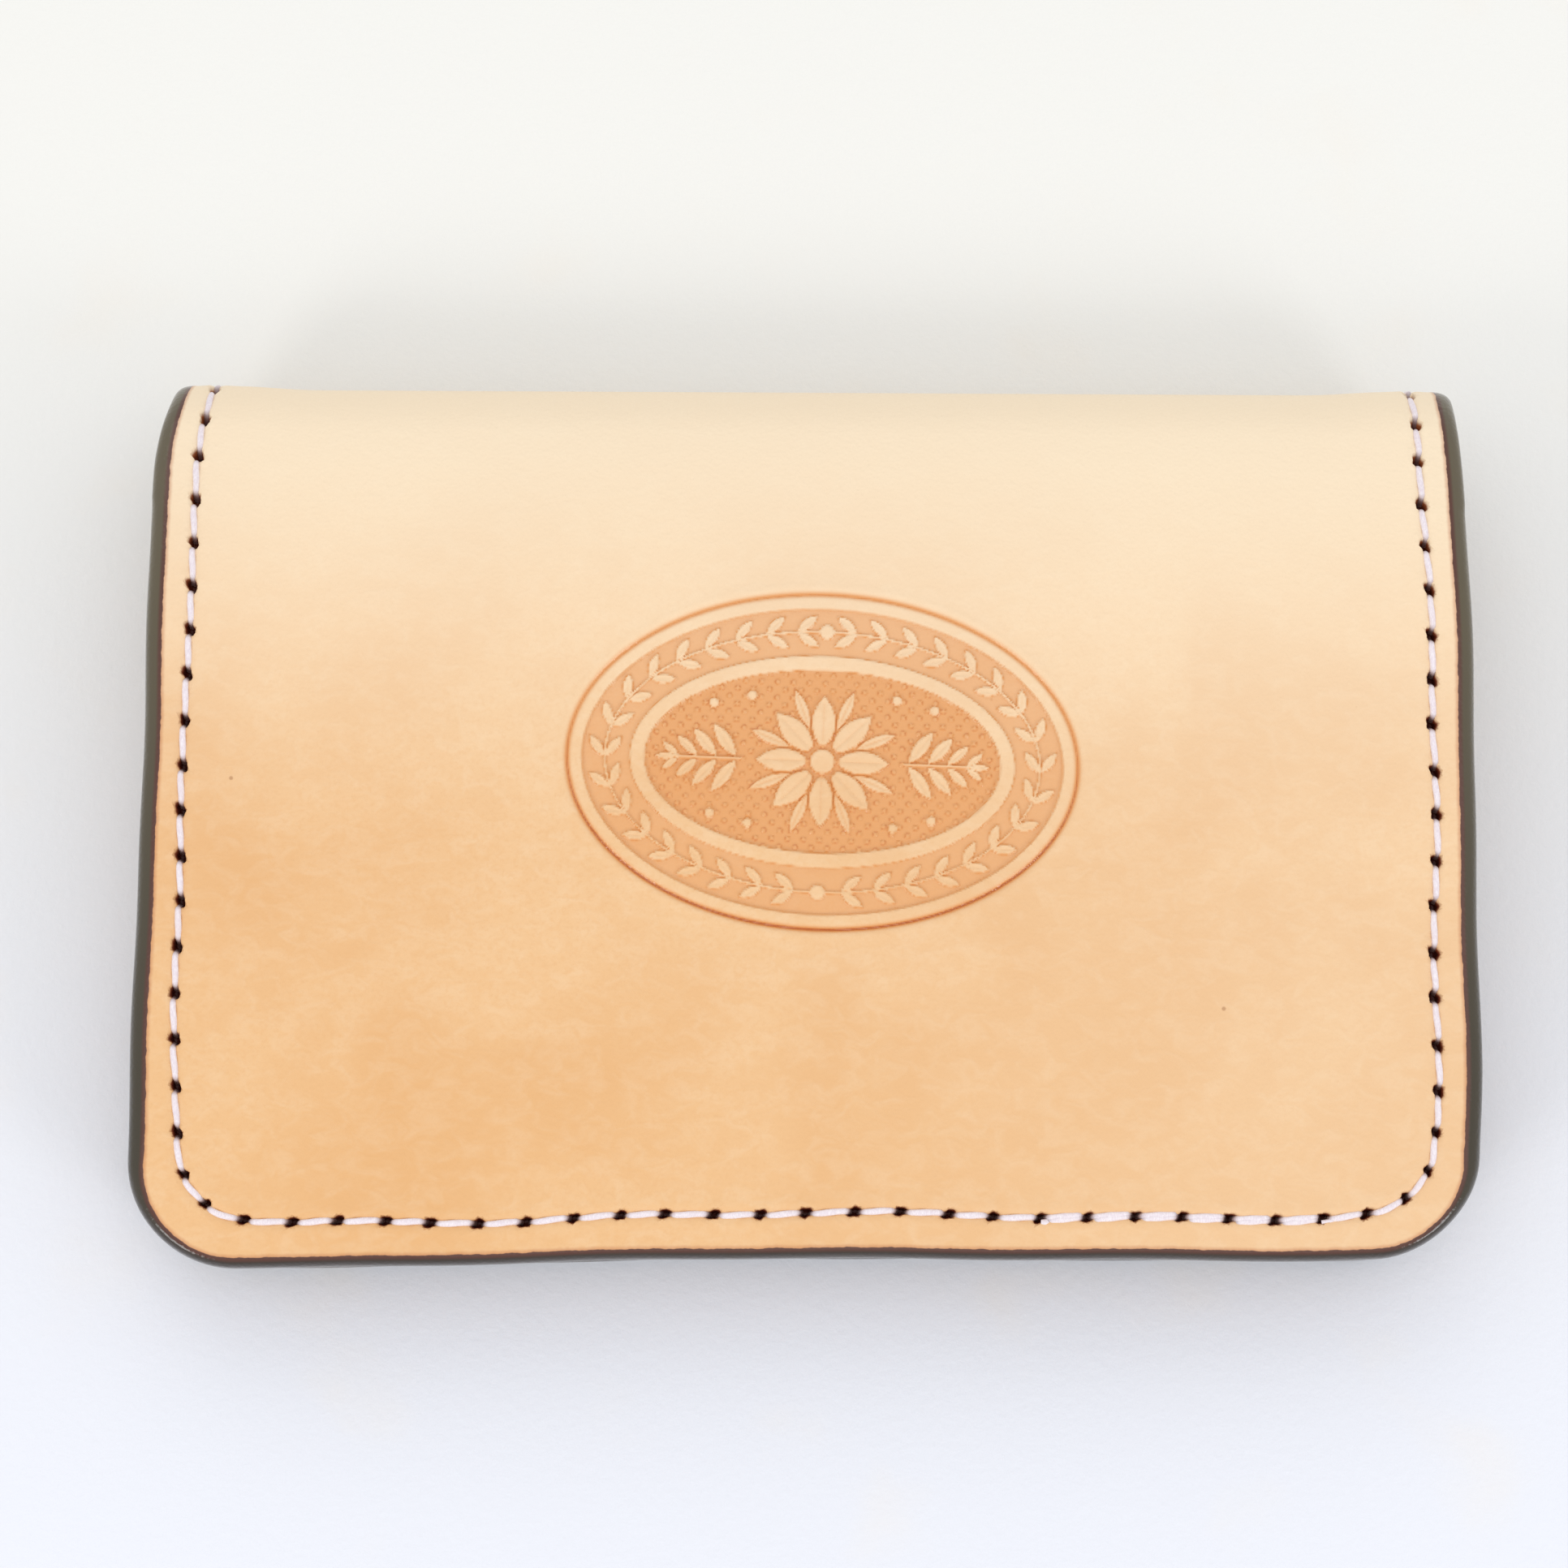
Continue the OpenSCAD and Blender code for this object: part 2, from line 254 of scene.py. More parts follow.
def seam_xy(t, v, front):
    """Plan point beside the seam, v further in than the line that the holes follow."""
    ends = smooth((np.minimum(t, SEAM_LEN - t) - 4) / 12)
    phase = 0.4 if front else 2.6
    wave = 0.17 * np.sin(0.115 * t + phase) + 0.11 * np.sin(0.31 * t + 2 * phase)
    for corner, depth in CORNER_CUTS:
        wave = wave + depth * np.exp(-(((t - corner) / CORNER_REACH) ** 2))
    base, inward = seam_base(t)
    return base + inward * (wave * ends + v)[..., None]


def hole_marks():
    """Distances of the stitch holes along the seam, slightly uneven away from the fold."""
    side = (np.arange(SIDE_HOLES) + 0.5) * PITCH
    gaps = round((SEAM_LEN - 2 * side[-1]) / PITCH)
    bottom = np.linspace(side[-1], SEAM_LEN - side[-1], gaps + 1)[1:-1]
    marks = np.concatenate([side, bottom, SEAM_LEN - side[::-1]])
    shake = rng.uniform(-0.13, 0.13, len(marks))
    shake[:2] = shake[-2:] = 0
    shake[2], shake[-3] = -0.25, 0.25
    return marks + shake


def seam_coords(x, s, front):
    """(t, v) of plan points near the seam."""
    t = np.arange(0, SEAM_LEN, 0.3)
    line = seam_xy(t, np.zeros(len(t)), front)
    ahead = seam_xy(t + 0.01, np.zeros(len(t)), front)
    along = (ahead - line) / np.linalg.norm(ahead - line, axis=1)[:, None]
    inward = np.stack([-along[:, 1], along[:, 0]], -1)
    points = np.stack([x, s], -1)
    nearest = np.empty(len(points), int)
    for i in range(0, len(points), 3000):
        part = points[i:i + 3000]
        nearest[i:i + 3000] = ((part[:, None] - line[None]) ** 2).sum(-1).argmin(1)
    off = points - line[nearest]
    return t[nearest] + (off * along[nearest]).sum(-1), (off * inward[nearest]).sum(-1)


class Seam:
    """The seam of one half: its holes, and each hole's own shape."""

    def __init__(self, front):
        self.front = front
        self.marks = hole_marks()
        count = len(self.marks)
        # Each hole's slant, half its length and width, its ragged rim and how far in it lies.
        self.tilt = rng.uniform(0.25, 0.5, count)
        self.length = rng.uniform(0.62, 0.74, count)
        self.width = rng.uniform(0.40, 0.48, count)
        self.phase = rng.uniform(0, 2 * math.pi, count)
        self.lean = rng.uniform(-0.05, 0.07, count)

    def at(self, t, v):
        """Plan points beside the seam."""
        return seam_xy(t, v, self.front)

    def hole_radius(self, t, v):
        """Distance from the nearest hole's middle as a share of its own radius there."""
        i = np.abs(t[:, None] - self.marks[None]).argmin(1)
        a, c = t - self.marks[i], v - self.lean[i]
        p = a * np.cos(self.tilt[i]) + c * np.sin(self.tilt[i])
        q = c * np.cos(self.tilt[i]) - a * np.sin(self.tilt[i])
        angle = np.arctan2(q, p)
        ragged = 1 + 0.09 * np.sin(3 * angle + self.phase[i]) + 0.05 * np.sin(5 * angle - self.phase[i])
        return np.hypot(p / self.length[i], q / self.width[i]) * ragged

    def relief(self, x, s, depth, sink):
        """(height, hole) of the leather round the stitches: a soft channel and the holes in it."""
        height, hole = np.zeros(len(x)), np.zeros(len(x))
        close = np.abs(inset(x, s) - SEAM_IN) < 2.6
        if close.any():
            t, v = seam_coords(x[close], s[close], self.front)
            r = self.hole_radius(t, v)
            pit = 1 - smooth((r - 0.45) / 0.6)
            channel = np.exp(-((v / 0.33) ** 2)) * (1 - 0.35 * smooth((r - 1) / 3))
            swell = 0.05 * np.exp(-(((np.abs(v) - 0.85) / 0.42) ** 2))
            pucker = 0.06 * np.exp(-(((r - 1.45) / 0.35) ** 2))
            height[close] = np.minimum(-sink * channel, 0) - depth * pit + swell + pucker
            hole[close] = pit
        return height, hole

    def points(self):
        """Plan points that carry the holes' and the channel's shape."""
        found = []
        angles = np.arange(14) * 2 * math.pi / 14
        for i, mark in enumerate(self.marks):
            found.append([[mark, self.lean[i]]])
            for share in (0.4, 0.62, 0.78, 0.94, 1.1, 1.35, 1.7):
                p = share * self.length[i] * np.cos(angles + share)
                q = share * self.width[i] * np.sin(angles + share)
                a = p * np.cos(self.tilt[i]) - q * np.sin(self.tilt[i])
                c = p * np.sin(self.tilt[i]) + q * np.cos(self.tilt[i])
                found.append(np.stack([mark + a, self.lean[i] + c], -1))
        rounds = np.vstack(found)
        t = np.arange(0.15, SEAM_LEN, 0.3)
        v = np.array([-1.05, -0.75, -0.52, -0.36, -0.2, 0, 0.2, 0.36, 0.52, 0.75, 1.05])
        strip = np.stack(np.meshgrid(t, v), -1).reshape(-1, 2)
        strip = strip[self.hole_radius(strip[:, 0], strip[:, 1]) > 1.9]
        both = np.vstack([rounds, strip])
        return self.at(both[:, 0], both[:, 1])


class StemSeam:
    """The straight seam that holds the foot of the upper slot's stem to the lining."""

    front = False

    def __init__(self):
        low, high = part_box("upper_slot_seam_thread")
        self.s = ((low.y + high.y) / 2) / MM - EDGE_Y
        count = round((high.x - low.x) / MM / PITCH)
        self.marks = np.linspace(low.x / MM, high.x / MM, count + 1)

    def at(self, t, v):
        """Plan points beside the seam."""
        return np.stack([t, self.s + v], -1)


# ---------------------------------------------------------------- stamped ornament


def oval_depth(u, v, half):
    """Distance inside an oval with those half axes, negative outside it."""
    a, b = half
    f = np.hypot(u / a, v / b) + 1e-9
    return (1 - f) * f / np.hypot(u / a**2, v / b**2)


def leaf(u, v, at, angle, half_len, half_wide):
    """Height from 0 to 1 of a pointed leaf with a fine rib."""
    p = (u - at[0]) * math.cos(angle) + (v - at[1]) * math.sin(angle)
    q = (v - at[1]) * math.cos(angle) - (u - at[0]) * math.sin(angle)
    inside = half_wide * (1 - (p / half_len) ** 2) - np.abs(q)
    rib = 0.35 * np.exp(-((q / 0.13) ** 2)) * smooth((half_len * 0.8 - np.abs(p)) / 0.4)
    return smooth(inside / 0.24) * (1 - rib)


def bead(u, v, at, radius):
    """Height from 0 to 1 of a round bead."""
    return smooth((radius - np.hypot(u - at[0], v - at[1])) / 0.26)


def wreath(u, v):
    """Two garlands of paired leaves that rise from the bottom of the band to its top."""
    half = [(a + b) / 2 - 0.62 for a, b in zip(STAMP_HALF, INNER_OVAL)]
    angles = np.linspace(-math.pi / 2, math.pi / 2, 4000)
    line = np.stack([half[0] * np.cos(angles), half[1] * np.sin(angles)], -1)
    length = np.concatenate([[0], np.cumsum(np.linalg.norm(np.diff(line, axis=0), axis=1))])
    count = 17
    heights = [0.8 * smooth((0.17 - np.abs(oval_depth(u, v, half))) / 0.14)]
    for at in (np.arange(count) + 0.85) / (count + 0.7) * length[-1]:
        angle = float(np.interp(at, length, angles))
        x, y = half[0] * math.cos(angle), half[1] * math.sin(angle)
        along = math.atan2(half[1] * math.cos(angle), -half[0] * math.sin(angle))
        for side in (-1, 1):
            lean = along + side * 0.62
            root = (x - 0.35 * math.cos(along), y - 0.35 * math.sin(along))
            middle = (root[0] + 1.15 * math.cos(lean), root[1] + 1.15 * math.sin(lean))
            heights.append(leaf(np.abs(u), v, middle, lean, 1.12, 0.5))
    heights += [bead(u, v, (0, end * half[1]), 0.72) for end in (-1, 1)]
    return np.maximum.reduce(heights)


def stipple(u, v):
    """Height from 0 to 1 of the even dots that texture the ground round the flower."""
    wave = np.cos(2 * math.pi * u / STIPPLE) * np.cos(2 * math.pi * v / STIPPLE)
    return smooth((wave - 0.3) / 0.5)


def rosette(u, v):
    """An eight-petalled flower between two sprigs, on a dotted ground."""
    petals = []
    for i in range(8):
        angle = i * math.pi / 4
        petals.append(leaf(u, v, (3.1 * math.cos(angle), 3.1 * math.sin(angle)), angle, 2.3, 1.05))
        angle = (i + 0.5) * math.pi / 4
        petals.append(0.75 * leaf(u, v, (4.5 * math.cos(angle), 4.5 * math.sin(angle)), angle, 1.9, 0.55))
    flower = np.maximum.reduce(petals) * (1 - bead(u, v, (0, 0), 1.5))
    side = np.abs(u)
    stem = smooth((0.2 - np.abs(v)) / 0.16) * smooth((side - 6.2) / 0.4) * smooth((12.6 - side) / 0.4)
    heights = [flower, bead(u, v, (0, 0), 1.1), 0.85 * stem, 0.42 * stipple(u, v),
               leaf(side, v, (12.3, 0), 0, 1.0, 0.4)]
    for i, reach in enumerate((1.75, 1.6, 1.3, 0.95)):
        root = 6.7 + 1.5 * i
        for up in (-1, 1):
            lean = up * (0.95 - 0.1 * i)
            middle = (root + reach * math.cos(lean), reach * math.sin(lean))
            heights.append(leaf(side, v, middle, lean, reach, 0.30 * reach + 0.12))
    heights += [bead(side, np.abs(v), at, 0.5) for at in ((5.7, 5.1), (8.7, 4.4))]
    return np.maximum.reduce(heights)


def in_stamp(x, s):
    """Plan points in the stamp's own axes."""
    du, dv = x - STAMP_AT[0], s - STAMP_AT[1]
    u = du * math.cos(STAMP_TURN) + dv * math.sin(STAMP_TURN)
    return u, dv * math.cos(STAMP_TURN) - du * math.sin(STAMP_TURN)


def stamp_relief(x, s):
    """(height, floor) of the stamped oval: its rings, the wreath between them and the rosette."""
    height, floor = np.zeros(len(x)), np.zeros(len(x))
    u, v = in_stamp(x, s)
    outer = oval_depth(u, v, STAMP_HALF)
    near = outer > -1.2
    u, v, outer = u[near], v[near], outer[near]
    inner = oval_depth(u, v, INNER_OVAL)
    field = oval_depth(u, v, INNER_FIELD)
    struck = 0.75 + 0.3 * smooth((6 - v) / 17)
    line = struck * np.exp(-(((outer - 0.18) / 0.2) ** 2))
    floor_in = smooth((outer - 1.25) / 0.22)
    ring = smooth((inner + 0.05) / 0.22) * (1 - smooth(field / 0.22))
    raised = np.maximum(ring, np.where(field > 0, rosette(u, v), wreath(u, v)))
    deep = STAMP_FLOOR * floor_in * (1 - 0.86 * raised) * (1 + 0.2 * smooth(field / 0.4))
    swell = 0.05 * np.exp(-(((outer + 0.45) / 0.3) ** 2))
    height[near] = swell - 0.8 * STAMP_FLOOR * line - 0.04 * smooth(outer / 0.3) - deep
    # The floor mask: the darker pressed ground, and the impressed outer line, which is partly pressed
    # darker and partly painted shade. It also holds painted shade at the feet of the raised ornament and on
    # the slopes of the sunk border.
    foot = smooth(raised / 0.3) * (1 - smooth((raised - 0.3) / 0.3)) * floor_in
    slopes = 0.75 * foot + 1.6 * floor_in * (1 - floor_in)
    ground = floor_in * (1 - smooth(raised / 0.75)) * (0.72 + 0.28 * smooth(field / 0.4))
    floor[near] = np.maximum(1.7 * line, ground + slopes)
    return height, floor


def stamp_points():
    """A fine grid of plan points under the stamped oval."""
    a, b = (half + 0.9 for half in STAMP_HALF)
    u, v = np.meshgrid(np.arange(-a, a, STAMP_STEP), np.arange(-b, b, STAMP_STEP))
    kept = (u / a) ** 2 + (v / b) ** 2 < 1
    u, v = u[kept], v[kept]
    x = STAMP_AT[0] + u * math.cos(STAMP_TURN) - v * math.sin(STAMP_TURN)
    s = STAMP_AT[1] + v * math.cos(STAMP_TURN) + u * math.sin(STAMP_TURN)
    return np.stack([x, s], -1)


def under_stamp(x, s):
    """True where the stamp's fine grid lies."""
    u, v = in_stamp(x, s)
    return (u / (STAMP_HALF[0] + 1.2)) ** 2 + (v / (STAMP_HALF[1] + 1.2)) ** 2 < 1


# ---------------------------------------------------------------- outlines
# An outline is an array with a row per point: place (2), inset direction of the burnished stack
# (2), inset direction of a pocket's mouth (2), and 1 where the edge is only the line at which two
# pieces of the same leather meet.


def run(start, end, stack=(0, 0), mouth=(0, 0), step=0.5, joint=0):
    """Straight stretch of an outline, without its last point."""
    start, end = np.array(start, float), np.array(end, float)
    count = max(1, round(np.linalg.norm(end - start) / step))
    share = np.arange(count)[:, None] / count
    rest = np.tile([*stack, *mouth, joint], (count, 1))
    return np.hstack([start + (end - start) * share, rest])


def turn(centre, radius, begin, end, count=24, mouth=False, inward=1):
    """Round stretch of an outline, without its last point. Angles are in degrees."""
    angle = np.radians(begin + (end - begin) * np.arange(count) / count)
    out = np.stack([np.cos(angle), np.sin(angle)], -1)
    none = np.zeros((count, 2))
    normals = [none, -out * inward] if mouth else [-out * inward, none]
    return np.hstack([np.array(centre) + radius * out, *normals, np.zeros((count, 1))])


def across(s, mouth=False):
    """Top edge of an outline from right to left: a pocket's mouth or the line of a joint, whose
    points lie close enough to follow the channel of the seam."""
    row = run((HALF_W, s), (-HALF_W, s), step=0.5 if mouth else 0.2, joint=0 if mouth else 1)
    row[:, 2] = -row[:, 0] / HALF_W
    row[:, 5] = -1 if mouth else 0
    return row


def lower_edges(top):
    """Left side, round corners, free edge and right side of a half, up to the distance top."""
    w, r = HALF_W, CORNER_R
    return [run((-w, top), (-w, r), stack=(1, 0)), turn((r - w, r), r, 180, 270),
            run((r - w, 0), (w - r, 0), stack=(0, 1)), turn((w - r, r), r, 270, 360),
            run((w, r), (w, top), stack=(-1, 0))]


def close(parts, mouth=False):
    """Joins stretches into one outline and gives its left top corner the top edge's kind."""
    outline = np.vstack(parts)
    outline[0, 5], outline[0, 6] = (-1, 0) if mouth else (0, 1)
    return outline


def half_outline(top, mouth=False):
    """Outline of a half up to the distance top, where it meets the fold or has a pocket's mouth."""
    return close([*lower_edges(top), across(top, mouth)], mouth)


def strip_outline(bottom, top):
    """Strip of leather between two joint lines."""
    low = across(bottom)[::-1]
    low[:, 0] = np.linspace(-HALF_W, HALF_W, len(low) + 1)[:-1]
    low[:, 2] = -low[:, 0] / HALF_W
    left = run((-HALF_W, top), (-HALF_W, bottom), stack=(1, 0), step=0.3)
    right = run((HALF_W, bottom), (HALF_W, top), stack=(-1, 0), step=0.3)
    right[0, 6] = 1
    return close([left, low, right, across(top)])


def notched_outline(top):
    """Pocket with a thumb notch in the middle of its mouth."""
    r, f, w = NOTCH_R, NOTCH_FILLET, HALF_W
    reach = math.sqrt(r * r + 2 * r * f)
    lean = math.degrees(math.atan2(f, reach))
    row = across(top, mouth=True)
    outer = row[row[:, 0] > reach]
    fillet = turn((reach, top - f), f, 90, 180 - lean, 8, mouth=True)
    notch = turn((0, top), r, -lean, lean - 180, 60, mouth=True, inward=-1)
    other = turn((-reach, top - f), f, lean, 90, 8, mouth=True)
    rest = run((-reach, top), (-w, top), mouth=(0, -1))
    rest[:, 2] = -rest[:, 0] / w
    return close([*lower_edges(top), outer, fillet, notch, other, rest], mouth=True)


def tee_outline():
    """Panel with two arms that reach the side seams and a stem between them."""
    w, top, arm = HALF_W, UPPER_MOUTH, LOWER_MOUTH + BUTT_GAP
    x, low, r = HALF_W - STEM_INSET, STEM_INSET, STEM_R
    up = (0.0, 1.0)
    parts = [run((-w, top), (-w, arm), stack=(1, 0)), run((-w, arm), (-x, arm), mouth=up),
             run((-x, arm), (-x, low + r), mouth=(1, 0)),
             turn((r - x, low + r), r, 180, 270, 10, mouth=True),
             run((r - x, low), (x - r, low), mouth=up),
             turn((x - r, low + r), r, 270, 360, 10, mouth=True),
             run((x, low + r), (x, arm), mouth=(-1, 0)), run((x, arm), (w, arm), mouth=up),
             run((w, arm), (w, top), stack=(-1, 0)), across(top, mouth=True)]
    outline = close(parts, mouth=True)
    at_arm = np.abs(outline[:, 1] - arm) < 1e-6
    outer = at_arm & (np.abs(outline[:, 0]) > x + 1e-6)
    outline[outer, 2] = -outline[outer, 0] / w
    corner = at_arm & (np.abs(np.abs(outline[:, 0]) - x) < 1e-6)
    outline[corner, 4] = -np.sign(outline[corner, 0])
    outline[corner, 5] = 1
    return outline


# ---------------------------------------------------------------- sheets of leather


def stack_inset(n, total, down):
    """How far the burnished round of a stack of that thickness stands back at the height n. The
    share down is 1 at the free edge and 0 at the sides."""
    top = WIDEST * total
    outer = np.clip((top - n) / top, 0, 1)
    inner = np.clip((n - top) / (total - top), 0, 1)
    reach = SIDE_ROUND + (FREE_ROUND - SIDE_ROUND) * down
    return reach * (1 - np.sqrt(1 - outer**2)) + INNER_ROUND * (1 - np.sqrt(1 - inner**2))


def within(points, ring):
    """True for the points inside the ring, found by counting the stretches to the right of each."""
    order = np.argsort(points[:, 1])
    x, s = points[order, 0], points[order, 1]
    odd = np.zeros(len(points), bool)
    for a, b in zip(ring, np.roll(ring, -1, 0)):
        if a[1] != b[1]:
            first, last = np.searchsorted(s, sorted((a[1], b[1])))
            odd[first:last] ^= x[first:last] < a[0] + (s[first:last] - a[1]) * (b[0] - a[0]) / (b[1] - a[1])
    found = np.empty(len(points), bool)
    found[order] = odd
    return found


def fill(loop, inside):
    """Points and triangles of a flat sheet whose first points are the loop's."""
    points = np.vstack([loop, inside])
    found = delaunay_2d_cdt([Vector(p) for p in points], [], [list(range(len(loop)))], 1, 1e-6, True)
    source = np.array([ids[0] if ids else -1 for ids in found[3]])
    if (source < 0).any() or len(set(source.tolist())) != len(source):
        raise ValueError("a sheet's outline crosses itself")
    triangles = source[np.array(found[2])]
    triangles = triangles[within(points[triangles].mean(1), loop)]
    used = np.zeros(len(points), bool)
    used[:len(loop)] = used[triangles.ravel()] = True
    return points[used], (np.cumsum(used) - 1)[triangles]


def close_to(points, line, reach):
    """True for the points in the 1 mm squares within about that reach of the line's own points."""
    low = np.floor(np.vstack([points, line]).min(0)).astype(int) - 4
    size = np.floor(np.vstack([points, line]).max(0)).astype(int) - low + 5
    marked = np.zeros(size, bool)
    cells = np.floor(line).astype(int) - low
    for i in range(-reach, reach + 1):
        for j in range(-reach, reach + 1):
            marked[cells[:, 0] + i, cells[:, 1] + j] = True
    at = np.floor(points).astype(int) - low
    return marked[at[:, 0], at[:, 1]]


def gap_to(points, begin, end):
    """Distance of each point from the nearest of the stretches from begin to end."""
    gap = np.empty(len(points))
    span = end - begin
    for i in range(0, len(points), 2000):
        p = points[i:i + 2000, None] - begin[None]
        share = np.clip((p * span[None]).sum(-1) / (span**2).sum(-1)[None], 0, 1)
        gap[i:i + 2000] = np.linalg.norm(p - span[None] * share[..., None], axis=-1).min(1)
    return gap


def off_edge(points, ring, gap):
    """Leaves out the points outside the ring and those closer to it than the gap."""
    points = points[within(points, ring)]
    near = close_to(points, ring, 1)
    keep = ~near
    keep[near] = gap_to(points[near], ring, np.roll(ring, -1, 0)) > gap
    return points[keep]


def edge_gap(points, ring, cut):
    """Distance of plan points from the nearest cut or mouth edge of the ring, up to 2 mm."""
    either = cut | np.roll(cut, -1)
    gap = np.full(len(points), 2.0)
    near = close_to(points, ring[cut], 2)
    if near.any():
        gap[near] = np.minimum(gap_to(points[near], ring[either], np.roll(ring, -1, 0)[either]), 2)
    return gap


# Heights of the rows of a sheet's wall as shares of its thickness, how far in from its edge extra
# points follow the outline, how far to both sides of a joint they do, and the grids of its faces.
WALL_SHARES = (0.012, 0.05, 0.11, 0.19, 0.29, 0.42, 0.58, 0.71, 0.81, 0.89, 0.95, 0.988)
EDGE_ROWS = (0.12, 0.3, 0.6)
JOINT_ROWS = (-0.12, -0.4, 0.12, 0.4)
SEEN_GRID, HIDDEN_GRID, FOLD_GRID = 1.0, 2.5, 0.35


def sheet(name, outline, low, high, total, front, outer=None, inner=None):
    """One piece of leather between the heights low and high. outer and inner give the relief of
    its two faces as (height, hole, floor) with the plan points that carry it."""
    joint = outline[:, 6] > 0.5
    cut = ~joint

    def insets(n, n_low, n_high):
        """How far in the stack's round and the round of a mouth lie at the heights n."""
        middle, half = (n_low + n_high) / 2, (n_high - n_low) / 2
        share = np.clip((n - middle) / half, -1, 1)
        layer_line = 0.035 * smooth((np.abs(share) - 0.86) / 0.14)
        stack = stack_inset(n, total(outline[:, 1]), np.abs(outline[:, 3])) + layer_line
        return stack, MOUTH_ROUND * (1 - np.sqrt(1 - share**2))

    def drawn(stack, mouth):
        """The outline, drawn in by those distances."""
        return outline[:, :2] + outline[:, 2:4] * stack[:, None] + outline[:, 4:6] * mouth[:, None]

    def loop(share):
        """Outline at that share of the sheet's thickness, its heights and how far in it lies."""
        x, s = outline[:, 0], outline[:, 1]
        n_low, n_high = low(x, s), high(x, s)
        stack, mouth = insets(n_low + (n_high - n_low) * share, n_low, n_high)
        moved = drawn(stack, mouth)
        n_low, n_high = low(moved[:, 0], moved[:, 1]), high(moved[:, 0], moved[:, 1])
        return moved, n_low + (n_high - n_low) * share, stack, mouth

    def skin(points, relief, level, outward):
        """Heights and the masks of painted shade in the holes and of the stamped floor with its painted
        shade, of one face at those plan points.
        """
        n = level(points[:, 0], points[:, 1])
        hole = floor = np.zeros(len(points))
        if relief:
            height, hole, floor = relief["shape"](points[:, 0], points[:, 1])
            n = n + outward * height
        return n, hole, floor

    def plain_grid(step, relief):
        """Plan points of an even grid, left out where the relief brings its own."""
        lo, hi = outline[:, :2].min(0), outline[:, :2].max(0)
        down = np.arange(lo[1] + 0.41, hi[1], step)
        if relief and lo[1] > FLAT:
            down = np.arange(lo[1] + FOLD_GRID, hi[1] - 0.5, FOLD_GRID)
        x, s = np.meshgrid(np.arange(lo[0] + 0.37, hi[0], step), down)
        plain = np.stack([x.ravel(), s.ravel()], -1)
        if relief:
            seam_strip = np.abs(inset(plain[:, 0], plain[:, 1]) - SEAM_IN) < 1.75
            plain = plain[~(seam_strip | relief["skip"](plain[:, 0], plain[:, 1]))]
        return plain

    def face(share, relief, level, outward):
        """One face: its plan points, triangles, heights and colour masks."""
        ring, _, stack, mouth = loop(share)
        extra = [drawn(stack + more, mouth + more)[cut] for more in EDGE_ROWS]
        if relief:
            extra += [relief["points"], *(ring[joint] + np.array([0, gap]) for gap in JOINT_ROWS)]
        inside = np.vstack([*extra, plain_grid(SEEN_GRID if relief else HIDDEN_GRID, relief)])
        inside = off_edge(inside, ring, 0.05)
        _, first = np.unique(np.round(inside / 0.03).astype(int), axis=0, return_index=True)
        inside = inside[np.sort(first)]
        points, triangles = fill(ring, inside)
        n, hole, floor = skin(points, relief, level, outward)
        rim = edge_gap(points, ring, cut)
        rim[:len(ring)][cut] = 0
        return points, triangles, n, rim, hole, floor

    p0, t0, n0, rim0, hole0, floor0 = face(0.0, outer, low, -1)
    p1, t1, n1, rim1, hole1, floor1 = face(1.0, inner, high, 1)
    count = len(outline)
    plan, heights, rims = [p0, p1], [n0, n1], [rim0, rim1]
    start = len(p0) + len(p1)
    border, n_border = (p0[:count], n0[:count]) if outer else (p1[:count], n1[:count])
    rows = [np.arange(count)]
    for share in WALL_SHARES:
        moved, n, _, _ = loop(share)
        low_face = skin(moved[joint], outer, low, -1)[0]
        high_face = skin(moved[joint], inner, high, 1)[0]
        n[joint] = low_face + (high_face - low_face) * share
        plan.append(moved)
        heights.append(n)
        rims.append(-np.minimum(np.hypot(np.linalg.norm(moved - border, axis=1), n - n_border), 1))
        rows.append(start + np.arange(count))
        start += count
    rows.append(len(p0) + np.arange(count))
    quads = np.vstack([np.stack([a, np.roll(a, -1), np.roll(b, -1), b], -1)
                       for a, b in zip(rows, rows[1:])])
    triangles = np.vstack([t0[:, ::-1], t1 + len(p0)])
    if front:
        triangles, quads = triangles[:, ::-1], quads[:, ::-1]
    plan = np.vstack(plan)
    pad = np.zeros(start - len(p0) - len(p1))
    masks = {"rim": np.concatenate(rims), "hole": np.concatenate([hole0, hole1, pad]),
             "floor": np.concatenate([floor0, floor1, pad]), "reach": plan[:, 1] / HALF_LEN}
    points = place(plan[:, 0], plan[:, 1], np.concatenate(heights), front)
    return build(name, points, [*triangles.tolist(), *quads.tolist()], masks)


def add_object(name, data):
    """A new object of the scene."""
    made = bpy.data.objects.new(name, data)
    bpy.context.scene.collection.objects.link(made)
    return made


def build(name, points, faces, masks, sharp=40):
    """A mesh object, smooth but for edges sharper than the angle sharp."""
    mesh = bpy.data.meshes.new(name)
    mesh.from_pydata(points.tolist(), [], faces)
    for key, values in masks.items():
        mesh.attributes.new(key, "FLOAT", "POINT").data.foreach_set("value", values.astype(np.float32))
    mesh.shade_smooth()
    mesh.set_sharp_from_angle(angle=math.radians(sharp))
    return add_object(name, mesh)


# ---------------------------------------------------------------- thread


